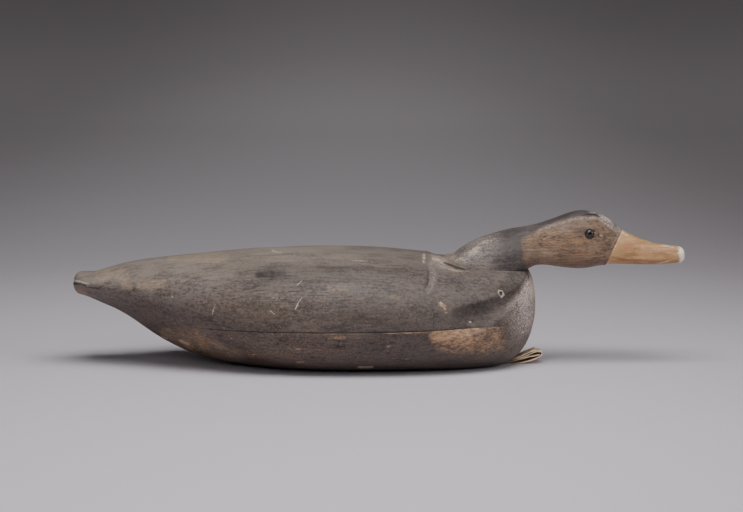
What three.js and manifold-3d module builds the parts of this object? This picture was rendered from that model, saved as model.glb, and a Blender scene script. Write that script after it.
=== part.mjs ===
// A black duck decoy with its head low and stretched forward.
//
// Millimetres, +Z up, +X towards the bill. The flat underside lies on z = 0 and the origin is under
// the middle of the object. The body is two carved wooden halves on a level seam. The head, its bill
// and the foot of the neck are one carving that sits on a shelf of the upper half.

import * as THREE from 'three';
import { mergeVertices } from 'three/addons/utils/BufferGeometryUtils.js';
import Module from 'manifold-3d';

const wasm = await Module();
wasm.setup();

// Driving dimensions

const TAIL_TIP = -244.2;
const BILL_TIP = 244.2;
const BREAST_FRONT = 125.3;
const FITTING_GAP = 0.3;

// The seam between the halves of the body climbs gently towards the breast.
const SEAM_HEIGHT = 36.4;
const SEAM_AT = -30;
const SEAM_PITCH = THREE.MathUtils.degToRad(0.4);

// The body: heights along the middle line, half-width at the widest line, fullness of the sections.
const BACK_LINE = [
  [-244, 73.4], [-236, 73.6], [-227, 73.8], [-219, 76.3], [-205, 80.3], [-180, 84.6], [-144, 88.2],
  [-100, 92.0], [-40, 94.1], [0, 93.1], [34, 90.0], [39, 89.6], [45, 87.4], [59, 86.8], [80, 83.6],
  [113, 80.6],
];
const KEEL_LINE = [
  [-244, 56.6], [-236, 54.9], [-223, 49.2], [-209, 42.8], [-197, 35.6], [-184, 26.4], [-171, 18.2],
  [-159, 12.2], [-144, 6.3], [-128, 2.6], [-104, -0.6], [-70, -2], [50, -2], [88, -1],
];
const WIDEST_LINE = [
  [-244, 64.6], [-224, 65.2], [-204, 62], [-176, 56], [-140, 50.5], [-100, 46], [-50, 43], [0, 42],
  [30, 40.5], [55, 37], [78, 35], [97, 38.5], [112, 43], [125, 48],
];
const BODY_HALF_WIDTH = [
  [-244, 21], [-224, 23.5], [-204, 29], [-176, 41.5], [-144, 55.5], [-104, 69.5], [-60, 77.4],
  [-25, 79],
];
const BACK_FULLNESS = [
  [-244, 2.2], [-200, 2.1], [-60, 2.1], [40, 2.05], [75, 1.9], [97, 1.75], [112, 1.65], [125, 1.7],
];
const BILGE_FULLNESS = [
  [-244, 1.7], [-200, 1.3], [-150, 1.35], [-110, 1.85], [-60, 2.5], [60, 2.6], [125, 2.2],
];
const WIDEST_AT = -25;
const BOW_SHARPNESS = 2.1;
const TAIL_TIP_ROUND = 5;
const TAIL_PLAN_ROUND = 17;
const TAIL_PLAN_FULLNESS = 2.6;

// The breast is an arc above and another below its foremost point.
const BREAST_POINT_HEIGHT = 48;
const BREAST_TOP = { from: 113.3, height: 32.6, power: 2 };
const BREAST_UNDER = { from: 88, height: 49, power: 2.2 };

// The block under the neck stands out over the breast as a shelf.
const SHELF = { from: 44, to: 119, frontRound: 4, backRound: 30, fullness: 5, blend: 1.6 };
const SHELF_TOP = [[44, 86], [58, 82.5], [75, 79], [97, 77.4], [119, 77]];
const SHELF_HALF_WIDTH = [
  [44, 50], [60, 47.5], [75, 46], [86, 43], [97, 38], [107, 31], [114, 25], [119, 20],
];

// The hollow between the shelf and the breast, a round scoop that rises towards the throat.
const SCOOP = { from: 42, to: 119, blend: 6 };
const SCOOP_HEIGHT = [
  [42, 41], [60, 42.5], [73, 45], [85, 48.5], [97, 53], [106, 57.5], [113, 63], [119, 70],
];
const SCOOP_RADIUS = [[42, 18], [73, 15], [97, 10], [110, 6], [119, 4]];
const SCOOP_DEPTH = [
  [42, 0], [52, 1.5], [62, 4.2], [73, 6.4], [84, 6], [95, 4], [106, 2.4], [113, 1.2], [119, 0],
];

// The seat of the neck is flat at the throat and curls up at its back end.
const SEAT = { from: 40, to: 119.4, height: 76, rise: 6.5, power: 3, run: 60, level: 113, steps: 12 };

// The neck, head and bill.
const NECK_BACK = 49.5;
const CROWN_LINE = [
  [49, 86.9], [60, 88.6], [65, 92.6], [73, 97.8], [83, 102.4], [103, 108.2], [117, 110.6],
  [128, 112.9], [139, 116.4], [150, 120.6], [160, 122.9], [169, 122.3], [177, 120.2], [184, 116],
  [192, 109.2], [204, 102.8], [219, 97.2], [236, 94.4], [244, 92.8],
];
const CHIN_LINE = [
  [49, 66], [90, 66], [106, 70], [115, 75], [119.5, 77.2], [124, 79.2], [131, 79.9], [142, 78.4],
  [154, 77.1], [164, 77.1], [174, 78.8], [184, 80], [219, 80.1], [232, 80.9], [244, 82.2],
];
const HEAD_WIDEST_LINE = [
  [49, 76], [100, 76.5], [118, 85], [135, 94], [165, 95.5], [182, 91], [200, 86.5], [244, 87.6],
];
const HEAD_HALF_WIDTH = [
  [49, 24], [75, 24.6], [98, 23], [112, 19.8], [121, 18.4], [130, 19.4], [142, 21.2], [154, 21.8],
  [166, 20.8], [176, 17.8], [185, 14.4], [194, 12.8], [208, 12.4], [228, 13.8], [244, 13.8],
];
const HEAD_TOP_FULLNESS = [
  [49, 3.4], [60, 2.6], [72, 1.8], [110, 1.9], [130, 2.4], [170, 2.6], [186, 2.2], [205, 2.1],
  [244, 2.6],
];
const HEAD_UNDER_FULLNESS = [[49, 2.5], [120, 2.4], [150, 2.2], [190, 2.6], [244, 3]];
const NECK_PLAN_ROUND = 20;
const NECK_END_ROUND = 0.8;
const BILL_TIP_ROUND = 3.4;
const BILL_PLAN_ROUND = 11;
const HEAD_PLAN_FULLNESS = 2.2;

// The glass eyes.
const EYE = { x: 166.3, z: 106.3, radius: 3.6, proud: 1.3, thickness: 4.4 };

// The carved edge of the back, a shallow gouge that runs down both sides from the middle line.
const MANTLE_GOUGE = { radius: 2.6, depth: 1.4, steps: 26, sides: 6, fade: 0.35 };
const MANTLE_LINE = [[57, 31.5], [61, 33], [67, 35.4], [73.5, 38], [79, 38.4], [85, 36.6], [90, 35.6]];

// The leather strip under the breast: one strip whose loop stands forward. Its first end is doubled
// under and lies inside the loop, and its other end is folded back over the loop.
const STRAP = { width: 15, thickness: 0.9, rebateDepth: 6, rebateBack: 94.6, rebateHalfWidth: 8 };
const STRAP_PATH = [
  [129, 7.6], [125.3, 6.75], [120.3, 5.85], [114.5, 4.2], [108.6, 2.7], [104, 1.8], [100, 1.5],
  [96.6, 1.48], [95.6, 1], [96.6, 0.5], [100, 0.5], [106, 0.5], [111, 0.62], [114.5, 0.95],
  [120.3, 2.45], [124, 3.8], [126.9, 5.05], [129.2, 6.3], [130.4, 7.9], [130.4, 9.2], [129.2, 10.1],
  [127.2, 10.3], [124.1, 9.5], [120.3, 7.6], [114.5, 5.35], [108.6, 3.85], [106.6, 3.4],
  [105.7, 3.85], [106.5, 4.5], [109, 5], [113.7, 6.45], [120.3, 9.4], [123.2, 10.5], [125.5, 11.4],
];

const FINISH = {
  upper: { color: 0x4f4a45, roughness: 0.72, metalness: 0 },
  lower: { color: 0x3d3530, roughness: 0.75, metalness: 0 },
  head: { color: 0x7d6955, roughness: 0.68, metalness: 0 },
  glass: { color: 0x1c1a19, roughness: 0.12, metalness: 0 },
  leather: { color: 0xb89f7c, roughness: 0.8, metalness: 0 },
};

// Mesh density: facets around a section, rings along the piece, and where rings and rays crowd.
const EVEN_RINGS = [[0, 0], [1, 1]];
const EVEN_RAYS = [[-1, -90], [1, 90]];
const BODY_FACETS = {
  around: 44,
  along: 55,
  ringCrowd: [[0, 0], [0.1, 0.105], [0.5, 0.565], [0.9, 0.905], [1, 1]],
  rayCrowd: [[-1, -90], [-0.5, -20], [0, 14], [0.5, 44], [1, 90]],
};
const HEAD_FACETS = { around: 28, along: 44, ringCrowd: EVEN_RINGS, rayCrowd: EVEN_RAYS };
const EYE_FACETS = { around: 12, along: 8 };
const STRAP_STEPS = 66;

// Helpers

const TINY = 1e-6;
const WELD = 1e-4;
const ROOM = 300;

/** A smooth curve through a few [x, value] stations, level beyond both ends. */
function curveThrough(stations) {
  const places = stations.map(([x]) => x);
  const spline = new THREE.CubicInterpolant(places, stations.map(([, value]) => value), 1);
  return x => spline.evaluate(x)[0];
}

/** A closed three.js geometry as a solid. */
function solid(geometry) {
  const bare = geometry.clone();
  bare.deleteAttribute('normal');
  bare.deleteAttribute('uv');
  const welded = mergeVertices(bare, WELD);
  return new wasm.Manifold(new wasm.Mesh({
    numProp: 3,
    vertProperties: new Float32Array(welded.attributes.position.array),
    triVerts: new Uint32Array(welded.index.array),
  }));
}

/** A solid back as a three.js geometry. */
function geometryOf(manifold) {
  const { vertProperties, triVerts } = manifold.getMesh();
  const geometry = new THREE.BufferGeometry();
  geometry.setAttribute('position', new THREE.BufferAttribute(vertProperties, 3));
  geometry.setIndex(new THREE.BufferAttribute(triVerts, 1));
  return geometry;
}

/** How full an end is at a distance from its tip: 0 at the tip, 1 once the rounding is over. */
function endRound(distance, length, power = 2) {
  const left = 1 - THREE.MathUtils.clamp(distance / length, 0, 1);
  return (1 - left ** power) ** (1 / power);
}

/** Reach along a ray from a section's middle. The superellipse's upper and lower halves may differ. */
function sectionReach(angle, { halfWidth, widest, top, bottom, upperFullness, lowerFullness }) {
  const up = Math.sin(angle);
  const fullness = up > 0 ? upperFullness : lowerFullness;
  const height = up > 0 ? top - widest : widest - bottom;
  if (halfWidth < TINY || height < TINY) {
    return 0;
  }
  const share = Math.abs(Math.cos(angle) / halfWidth) ** fullness + Math.abs(up / height) ** fullness;
  return share ** (-1 / fullness);
}

/** The larger of two reaches, rounded where they cross. */
function blendedMax(a, b, blend) {
  const near = Math.max(blend - Math.abs(a - b), 0) / blend;
  return Math.max(a, b) + near * near * blend / 4;
}

/** A closed solid of sections across x. The crowd curves space its rings and rays. */
function loft({ from, to }, { around, along, ringCrowd, rayCrowd }, middleAt, reachAt) {
  const ball = new THREE.SphereGeometry(1, around, along).rotateZ(-Math.PI / 2);
  const place = ball.attributes.position;
  const ringAt = curveThrough(ringCrowd);
  const rayAt = curveThrough(rayCrowd);
  for (let i = 0; i < place.count; i++) {
    const turn = Math.PI * ringAt(1 - Math.acos(THREE.MathUtils.clamp(place.getX(i), -1, 1)) / Math.PI);
    const x = THREE.MathUtils.mapLinear(Math.cos(turn), 1, -1, from, to);
    const across = place.getY(i);
    const ray = Math.atan2(place.getZ(i), Math.abs(across)) / (Math.PI / 2);
    const elevation = THREE.MathUtils.degToRad(rayAt(ray));
    const reach = reachAt(x, elevation);
    const y = Math.sign(across) * reach * Math.cos(elevation);
    place.setXYZ(i, x, y, middleAt(x) + reach * Math.sin(elevation));
  }
  return solid(ball);
}

/** An outline in the x-z plane, drawn out to both sides of the middle plane. */
function plate(outline, halfWidth) {
  const geometry = new THREE.ExtrudeGeometry(outline, { depth: 2 * halfWidth, bevelEnabled: false });
  return solid(geometry.rotateX(Math.PI / 2).translate(0, halfWidth, 0));
}

/** A block between two corners. */
function block(low, high) {
  const box = new THREE.Box3(new THREE.Vector3(...low), new THREE.Vector3(...high));
  const size = box.getSize(new THREE.Vector3());
  const middle = box.getCenter(new THREE.Vector3());
  return solid(new THREE.BoxGeometry(...size).translate(...middle));
}

// The body

const backLine = curveThrough(BACK_LINE);
const keelLine = curveThrough(KEEL_LINE);
const widestLine = curveThrough(WIDEST_LINE);
const bodyHalfWidth = curveThrough(BODY_HALF_WIDTH);
const backFullness = curveThrough(BACK_FULLNESS);
const bilgeFullness = curveThrough(BILGE_FULLNESS);

/** Height of a breast arc at x, which ends at the breast's front. */
function breastArc(x, { from, height, power }) {
  const along = THREE.MathUtils.clamp((x - from) / (BREAST_FRONT - from), 0, 1);
  return height * (1 - along ** power) ** (1 / power);
}

/** The plain hull, before the shelf and the hollow. */
function hullSection(x) {
  const widest = widestLine(x);
  const tip = endRound(x - TAIL_TIP, TAIL_TIP_ROUND);
  const plan = endRound(x - TAIL_TIP, TAIL_PLAN_ROUND, TAIL_PLAN_FULLNESS);
  const bow = THREE.MathUtils.clamp((x - WIDEST_AT) / (BREAST_FRONT - WIDEST_AT), 0, 1);
  const back = x < BREAST_TOP.from ? backLine(x) : BREAST_POINT_HEIGHT + breastArc(x, BREAST_TOP);
  const keel = x < BREAST_UNDER.from ? keelLine(x) : BREAST_POINT_HEIGHT - breastArc(x, BREAST_UNDER);
  return {
    halfWidth: bodyHalfWidth(x) * plan * Math.sqrt(1 - bow ** BOW_SHARPNESS),
    widest,
    top: widest + (back - widest) * tip,
    bottom: widest - (widest - keel) * tip,
    upperFullness: backFullness(x),
    lowerFullness: bilgeFullness(x),
  };
}

const shelfTop = curveThrough(SHELF_TOP);
const shelfHalfWidth = curveThrough(SHELF_HALF_WIDTH);

/** The block under the neck, of which only the upper half is used. */
function shelfSection(x) {
  const ends = endRound(SHELF.to - x, SHELF.frontRound) * endRound(x - SHELF.from, SHELF.backRound);
  const widest = widestLine(x);
  const height = (shelfTop(x) - widest) * ends;
  return {
    halfWidth: shelfHalfWidth(x) * ends,
    widest,
    top: widest + height,
    bottom: widest - height,
    upperFullness: SHELF.fullness,
    lowerFullness: SHELF.fullness,
  };
}

/** Half-width of a section at a height above its widest line. */
function halfWidthAt({ halfWidth, widest, top, upperFullness }, z) {
  const up = THREE.MathUtils.clamp((z - widest) / (top - widest), 0, 1);
  return halfWidth * (1 - up ** upperFullness) ** (1 / upperFullness);
}

const scoopHeight = curveThrough(SCOOP_HEIGHT);
const scoopRadius = curveThrough(SCOOP_RADIUS);
const scoopDepth = curveThrough(SCOOP_DEPTH);

/** How far a ray gets before it enters the hollow, which lies alike on both sides. */
function reachToScoop(x, angle, section) {
  const rise = scoopHeight(x) - section.widest;
  const half = halfWidthAt(section, scoopHeight(x));
  const radius = scoopRadius(x);
  const away = (Math.hypot(half, rise) + radius - scoopDepth(x)) / Math.hypot(half, rise);
  const along = Math.abs(Math.cos(angle)) * half * away + Math.sin(angle) * rise * away;
  const inside = radius ** 2 - (half * away) ** 2 - (rise * away) ** 2 + along ** 2;
  return inside > 0 ? along - Math.sqrt(inside) : Infinity;
}

/** How far the body reaches along a ray at x: the hull with its shelf, less the hollow. */
function bodyReach(x, angle) {
  const hull = hullSection(x);
  const reach = sectionReach(angle, hull);
  if (x <= SCOOP.from || x >= SCOOP.to) {
    return reach;
  }
  const shelf = angle > 0 ? sectionReach(angle, shelfSection(x)) : 0;
  const shelved = blendedMax(reach, shelf, SHELF.blend);
  return -blendedMax(-shelved, -reachToScoop(x, angle, hull), SCOOP.blend);
}

/** The round gouge that cuts the edge of the back, fading out at its two lower ends. */
function mantleGouge() {
  const lineAt = curveThrough(MANTLE_LINE);
  const [[lowest, lowestX]] = MANTLE_LINE;
  const { radius, depth, steps, sides, fade } = MANTLE_GOUGE;
  const section = hullSection(lowestX);
  const start = Math.atan2(lowest - section.widest, halfWidthAt(section, lowest));
  const points = [];
  for (let i = 0; i <= steps; i++) {
    const angle = THREE.MathUtils.lerp(start, Math.PI - start, i / steps);
    const across = Math.cos(angle);
    const up = Math.sin(angle);
    const x = lineAt(section.widest + sectionReach(angle, section) * up);
    const deep = depth * THREE.MathUtils.smoothstep(Math.min(angle, Math.PI - angle) - start, 0, fade);
    const reach = bodyReach(x, angle) + radius - deep;
    points.push(new THREE.Vector3(x, reach * across, widestLine(x) + reach * up));
  }
  const tool = new THREE.Shape().absarc(0, 0, radius, 0, 2 * Math.PI);
  const path = new THREE.CatmullRomCurve3(points);
  return solid(new THREE.ExtrudeGeometry(tool, { steps, curveSegments: sides, extrudePath: path }));
}

/** Everything above or below the seam, less half of the fitting gap. */
function seamSide(side) {
  const height = side * (ROOM + FITTING_GAP) / 2;
  const slab = new THREE.BoxGeometry(4 * ROOM, 2 * ROOM, ROOM).translate(0, 0, height);
  return solid(slab.rotateY(-SEAM_PITCH).translate(SEAM_AT, 0, SEAM_HEIGHT));
}

/** Height of the neck's seat at x. */
function seatHeight(x) {
  const back = Math.max(0, (SEAT.level - x) / SEAT.run);
  return SEAT.height + SEAT.rise * back ** SEAT.power;
}

/** Everything above the neck's seat, up to the throat, moved down by a clearance. */
function aboveSeat(clearance) {
  const outline = new THREE.Shape();
  outline.moveTo(SEAT.to, ROOM);
  outline.lineTo(SEAT.from, ROOM);
  for (let i = 0; i <= SEAT.steps; i++) {
    const x = THREE.MathUtils.lerp(SEAT.from, SEAT.to, i / SEAT.steps);
    outline.lineTo(x, seatHeight(x) - clearance);
  }
  return plate(outline, ROOM / 2);
}

// The head

const crownLine = curveThrough(CROWN_LINE);
const chinLine = curveThrough(CHIN_LINE);
const headWidestLine = curveThrough(HEAD_WIDEST_LINE);
const headHalfWidth = curveThrough(HEAD_HALF_WIDTH);
const headTopFullness = curveThrough(HEAD_TOP_FULLNESS);
const headUnderFullness = curveThrough(HEAD_UNDER_FULLNESS);

/** The head's section, or the hollow that it fits when grown by a clearance. */
function headSection(x, clearance = 0) {
  const widest = headWidestLine(x);
  const neckPlan = endRound(x - (NECK_BACK - clearance), NECK_PLAN_ROUND, HEAD_PLAN_FULLNESS);
  const neckTip = endRound(x - (NECK_BACK - clearance), NECK_END_ROUND);
  const billPlan = endRound(BILL_TIP - x, BILL_PLAN_ROUND, HEAD_PLAN_FULLNESS);
  const billTip = endRound(BILL_TIP - x, BILL_TIP_ROUND);
  return {
    halfWidth: (headHalfWidth(x) + clearance) * neckPlan * billPlan,
    widest,
    top: widest + (crownLine(x) + clearance - widest) * neckTip * billTip,
    bottom: widest - (widest - chinLine(x) + clearance) * neckTip * billTip,
    upperFullness: headTopFullness(x),
    lowerFullness: headUnderFullness(x),
  };
}

/** The head and neck down to the seat, or the pocket for its foot when grown by a clearance. */
function headSolid(clearance = 0) {
  const ends = { from: NECK_BACK - clearance, to: BILL_TIP };
  const reachAt = (x, angle) => sectionReach(angle, headSection(x, clearance));
  const whole = loft(ends, HEAD_FACETS, headWidestLine, reachAt);
  const upToThroat = block([SEAT.from - ROOM, -ROOM, -ROOM], [SEAT.to, ROOM, ROOM]);
  return whole.subtract(upToThroat.subtract(aboveSeat(clearance)));
}

/** A glass eye, a thick lens a little proud of the cheek, or its socket when grown by a clearance. */
function eyeSolid(side, clearance = 0) {
  const radius = EYE.radius + clearance;
  const halfThick = EYE.thickness / 2 + clearance;
  const middle = halfWidthAt(headSection(EYE.x), EYE.z) + EYE.proud - EYE.thickness / 2;
  const lens = new THREE.SphereGeometry(radius, EYE_FACETS.around, EYE_FACETS.along);
  return solid(lens.scale(1, halfThick / radius, 1).translate(EYE.x, side * middle, EYE.z));
}

// The leather strip

/** The folded strip, one thickness of leather all along its path. */
function strapSolid() {
  const bends = STRAP_PATH.map(([x, z]) => new THREE.Vector3(x, 0, z));
  const points = new THREE.CatmullRomCurve3(bends, false, 'centripetal').getPoints(STRAP_STEPS);
  const faceOn = side => points.map((point, i) => {
    const ahead = points[Math.min(i + 1, points.length - 1)];
    const behind = points[Math.max(i - 1, 0)];
    const run = new THREE.Vector2(ahead.x - behind.x, ahead.z - behind.z).normalize();
    const offset = side * STRAP.thickness / 2;
    return new THREE.Vector2(point.x - run.y * offset, point.z + run.x * offset);
  });
  return plate(new THREE.Shape([...faceOn(1), ...faceOn(-1).reverse()]), STRAP.width / 2);
}

/** The shallow rebate in the underside where the strip is fixed. */
function strapRebate() {
  const { rebateBack, rebateHalfWidth, rebateDepth } = STRAP;
  return block([rebateBack, -rebateHalfWidth, -ROOM], [SEAT.to, rebateHalfWidth, rebateDepth]);
}

// Joining and naming

const aboveGround = block([-ROOM, -ROOM, 0], [ROOM, ROOM, ROOM]);
const wholeBody = loft({ from: TAIL_TIP, to: BREAST_FRONT }, BODY_FACETS, widestLine, bodyReach)
  .subtract(mantleGouge())
  .intersect(aboveGround);

const upperBody = wholeBody.intersect(seamSide(1)).subtract(headSolid(FITTING_GAP));
const lowerBody = wholeBody.intersect(seamSide(-1)).subtract(strapRebate());
const head = headSolid().subtract(eyeSolid(1, FITTING_GAP)).subtract(eyeSolid(-1, FITTING_GAP));

/** A named mesh of one piece in its own finish. */
function piece(name, manifold, finish) {
  const mesh = new THREE.Mesh(geometryOf(manifold), new THREE.MeshStandardMaterial(finish));
  mesh.name = name;
  return mesh;
}

const decoy = new THREE.Group();
decoy.add(
  piece('body_upper', upperBody, FINISH.upper),
  piece('body_lower', lowerBody, FINISH.lower),
  piece('head_and_neck', head, FINISH.head),
  piece('eye_left', eyeSolid(1), FINISH.glass),
  piece('eye_right', eyeSolid(-1), FINISH.glass),
  piece('leather_line_tie', strapSolid(), FINISH.leather),
);

export default decoy;
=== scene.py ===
"""A black duck decoy, carved, painted and worn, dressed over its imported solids.

The shapes repeat the solids' own lines in millimetres, at a finer pitch and with the shallow carving.
"""

import logging
import math
from dataclasses import dataclass
from enum import Enum
from typing import Callable

import bmesh
import bpy
import numpy as np
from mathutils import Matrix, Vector


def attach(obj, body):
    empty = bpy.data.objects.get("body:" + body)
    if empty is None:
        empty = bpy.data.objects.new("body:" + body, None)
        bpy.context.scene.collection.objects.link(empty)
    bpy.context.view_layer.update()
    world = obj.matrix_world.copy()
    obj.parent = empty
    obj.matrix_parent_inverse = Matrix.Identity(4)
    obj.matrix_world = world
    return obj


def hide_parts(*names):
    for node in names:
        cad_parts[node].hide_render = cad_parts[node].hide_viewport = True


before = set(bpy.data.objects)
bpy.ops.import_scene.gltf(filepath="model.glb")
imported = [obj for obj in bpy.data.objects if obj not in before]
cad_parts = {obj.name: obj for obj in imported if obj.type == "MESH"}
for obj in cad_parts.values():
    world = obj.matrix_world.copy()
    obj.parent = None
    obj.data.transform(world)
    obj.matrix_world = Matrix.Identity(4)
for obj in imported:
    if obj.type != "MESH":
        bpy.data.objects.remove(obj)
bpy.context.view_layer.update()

# A span is two limits, or a place in side view as (x, z)
Span = tuple[float, float]
Pairs = tuple[Span, ...]
Point = tuple[float, float, float]
Colour = tuple[float, float, float]

MM = 0.001
TINY = 1e-6
# How small an end ring's points may lie apart and still count as one, in metres
WELD = 2e-6
STRAIGHT_UP = math.pi / 2
FINE_PLACES = 6000
# Moves the noise off the planes where it is level
OFF_LATTICE = 0.37
# A screen's fullest value, and the toe and power of its curve
SCREEN_CURVE = (255, 0.055, 2.4)
ROOT = "root"
SHARP_EDGE = math.radians(38)
log = logging.getLogger("decoy")

# Places and lines that several parts share, in side view as (x, z), and the fade to the near side
EYE_CENTRE = (166.3, 106.3)
NEAR_SIDE = (2, -4)
BROW = ((160.5, 120), (166, 121), (172, 120.4), (175, 119))
NAPE = ((62, 86), (70, 89), (82, 97), (94, 102))
BESIDE_NECK = ((43, 86), (47, 85), (51, 83.6))
MANTLE_UP = ((60, 70), (88, 83))
TAIL_END = ((-229.5, -233.5),)


class Side(Enum):
    """A side of the duck, by the sign of y."""

    LEFT = 1
    RIGHT = -1


class Half(Enum):
    """A half of the body, above or below the seam."""

    UPPER = 1
    LOWER = -1


# Maths for shapes, in millimetres


class Curve:
    """A smooth curve through a few stations, level beyond both ends."""

    def __init__(self, stations: Pairs) -> None:
        """Works out the slope at each station, the mean of the two neighbouring secants."""
        self.at, self.value = np.array(stations, float).T
        secant = np.diff(self.value) / np.diff(self.at)
        inner = (secant[:-1] + secant[1:]) / 2
        self.slope = np.concatenate([secant[:1], inner, secant[-1:]])

    def __call__(self, x: np.ndarray) -> np.ndarray:
        """Evaluates the curve.

        Args:
            x: Where to evaluate it.

        Returns:
            The curve's value at each x.
        """
        x = np.clip(x, self.at[0], self.at[-1])
        low = np.clip(np.searchsorted(self.at, x, side="right") - 1, 0, len(self.at) - 2)
        span = self.at[low + 1] - self.at[low]
        t = (x - self.at[low]) / span
        rise = t * t * (3 - 2 * t)
        bend_low = t * (1 - t) ** 2 * span * self.slope[low]
        bend_high = t * t * (t - 1) * span * self.slope[low + 1]
        return self.value[low] * (1 - rise) + self.value[low + 1] * rise + bend_low + bend_high


class Ripple:
    """Smooth seeded unevenness about nothing."""

    LATTICE = 24

    def __init__(self, seed: int, cell: Point, height: float = 1) -> None:
        """Draws the random lattice; cell is its pitch in x, y and z, and height its largest value."""
        self.cell = np.array(cell)
        self.height = height
        self.table = np.random.default_rng(seed).uniform(-1, 1, (self.LATTICE,) * 3)

    def __call__(self, points: np.ndarray) -> np.ndarray:
        """Evaluates the unevenness.

        Args:
            points: Places, with x, y and z on the last axis.

        Returns:
            A value between -height and height for each place.
        """
        place = points / self.cell
        corner = np.floor(place).astype(int)
        part = place - corner
        part = part * part * (3 - 2 * part)
        total = np.zeros(points.shape[:-1])
        for step in np.ndindex(2, 2, 2):
            share = np.prod(np.where(step, part, 1 - part), axis=-1)
            at = (corner + step) % self.LATTICE
            total += share * self.table[at[..., 0], at[..., 1], at[..., 2]]
        return total * self.height


def smoothstep(x: np.ndarray, low: float, high: float) -> np.ndarray:
    """Rises smoothly from 0 at low to 1 at high, or falls if low is the larger."""
    t = np.clip((x - low) / (high - low), 0, 1)
    return t * t * (3 - 2 * t)


def hump(distance: np.ndarray, width: float) -> np.ndarray:
    """A smooth bump that is 1 at no distance and fades over width."""
    return np.exp(-((distance / width) ** 2))


def end_round(distance: np.ndarray, length: float, power: float = 2) -> np.ndarray:
    """How full an end is at a distance from its tip, 0 at the tip and 1 beyond the rounding."""
    left = 1 - np.clip(distance / length, 0, 1)
    return (1 - left**power) ** (1 / power)


def blended_max(a: np.ndarray, b: np.ndarray, blend: float) -> np.ndarray:
    """The larger of two reaches, rounded where they cross."""
    near = np.maximum(blend - np.abs(a - b), 0) / blend
    return np.maximum(a, b) + near * near * blend / 4


def to_line(points: np.ndarray, line: Pairs) -> np.ndarray:
    """Distance from points to a broken line in side view.

    Args:
        points: Places, with x, y and z on the last axis.
        line: The line's corners as (x, z).

    Returns:
        The distance in the x-z plane for each place.
    """
    flat = points[..., [0, 2]]
    corners = np.array(line, float)
    if len(corners) == 1:
        return np.linalg.norm(flat - corners[0], axis=-1)
    best = np.full(flat.shape[:-1], np.inf)
    for a, b in zip(corners[:-1], corners[1:]):
        run = b - a
        t = np.clip(((flat - a) @ run) / (run @ run), 0, 1)
        best = np.minimum(best, np.linalg.norm(flat - a - t[..., None] * run, axis=-1))
    return best


@dataclass(frozen=True)
class Zone:
    """A stretch between smooth limits along x and up z, each given as where nothing and all of it shows."""

    strong: float = 1
    along: Pairs = ()
    up: Pairs = ()

    def within(self, points: np.ndarray) -> np.ndarray:
        """How far each point lies within the limits."""
        share = np.ones(points.shape[:-1])
        for at, limits in ((points[..., 0], self.along), (points[..., 2], self.up)):
            for nothing, full in limits:
                share = share * smoothstep(at, nothing, full)
        return share

    def __call__(self, points: np.ndarray) -> np.ndarray:
        """How strongly the zone shows at each point."""
        return self.strong * self.within(points)


@dataclass(frozen=True)
class Trace(Zone):
    """A soft ridge or worn line within a zone, or a groove where its strength is below nothing."""

    width: float = 1
    offset: float = 0
    fray: float = 0
    line: Pairs = ()

    def beside(self, points: np.ndarray, distance: np.ndarray, frayed: np.ndarray | float = 0) -> np.ndarray:
        """How strongly the trace shows beside a line worked out elsewhere.

        Args:
            points: Places, with x, y and z on the last axis.
            distance: How far each is from the line.
            frayed: Unevenness at each, which the trace follows as far as it is frayed.

        Returns:
            The strength at each place.
        """
        here = (self.strong + self.fray * frayed) * hump(distance - self.offset, self.width)
        return here * self.within(points)

    def on_line(self, points: np.ndarray, frayed: np.ndarray | float = 0) -> np.ndarray:
        """The same, beside the trace's own line."""
        return self.beside(points, to_line(points, self.line), frayed)


@dataclass(frozen=True)
class Ledge(Zone):
    """A step up across a line that dies away behind it."""

    rise: Span = (-0.6, 0.5)
    run: float = 14

    def beside(self, points: np.ndarray, distance: np.ndarray) -> np.ndarray:
        """How high the ledge stands at a distance from its line."""
        left = np.exp(-np.maximum(distance, 0) / self.run)
        return self.strong * smoothstep(distance, *self.rise) * left * self.within(points)


@dataclass(frozen=True)
class Patch:
    """A worn or stained place in side view, round a point or along a broken line of (x, z)."""

    EDGE = (1.3, 0.4)

    line: Pairs
    width: float
    strong: float

    def cover(self, points: np.ndarray) -> np.ndarray:
        """How much of the patch lies at each point, fading at its edge."""
        nothing, full = (self.width * share for share in self.EDGE)
        return self.strong * smoothstep(to_line(points, self.line), nothing, full)


def all_of(patches: tuple[Patch, ...], points: np.ndarray) -> np.ndarray:
    """The strongest cover of several patches at each point."""
    return np.max([patch.cover(points) for patch in patches], axis=0)


def strongest(*values: np.ndarray) -> np.ndarray:
    """The largest of several values at each point."""
    return np.max(values, axis=0)


def on_both(near: np.ndarray, far_share: float) -> np.ndarray:
    """All of something on the near side and a share of it on the far one."""
    return far_share + (1 - far_share) * near


NECK_CRACK = Trace(1.2, width=0.6, line=((51, 84), (56, 82.7), (62.1, 80.6), (67, 79.6)))


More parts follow.
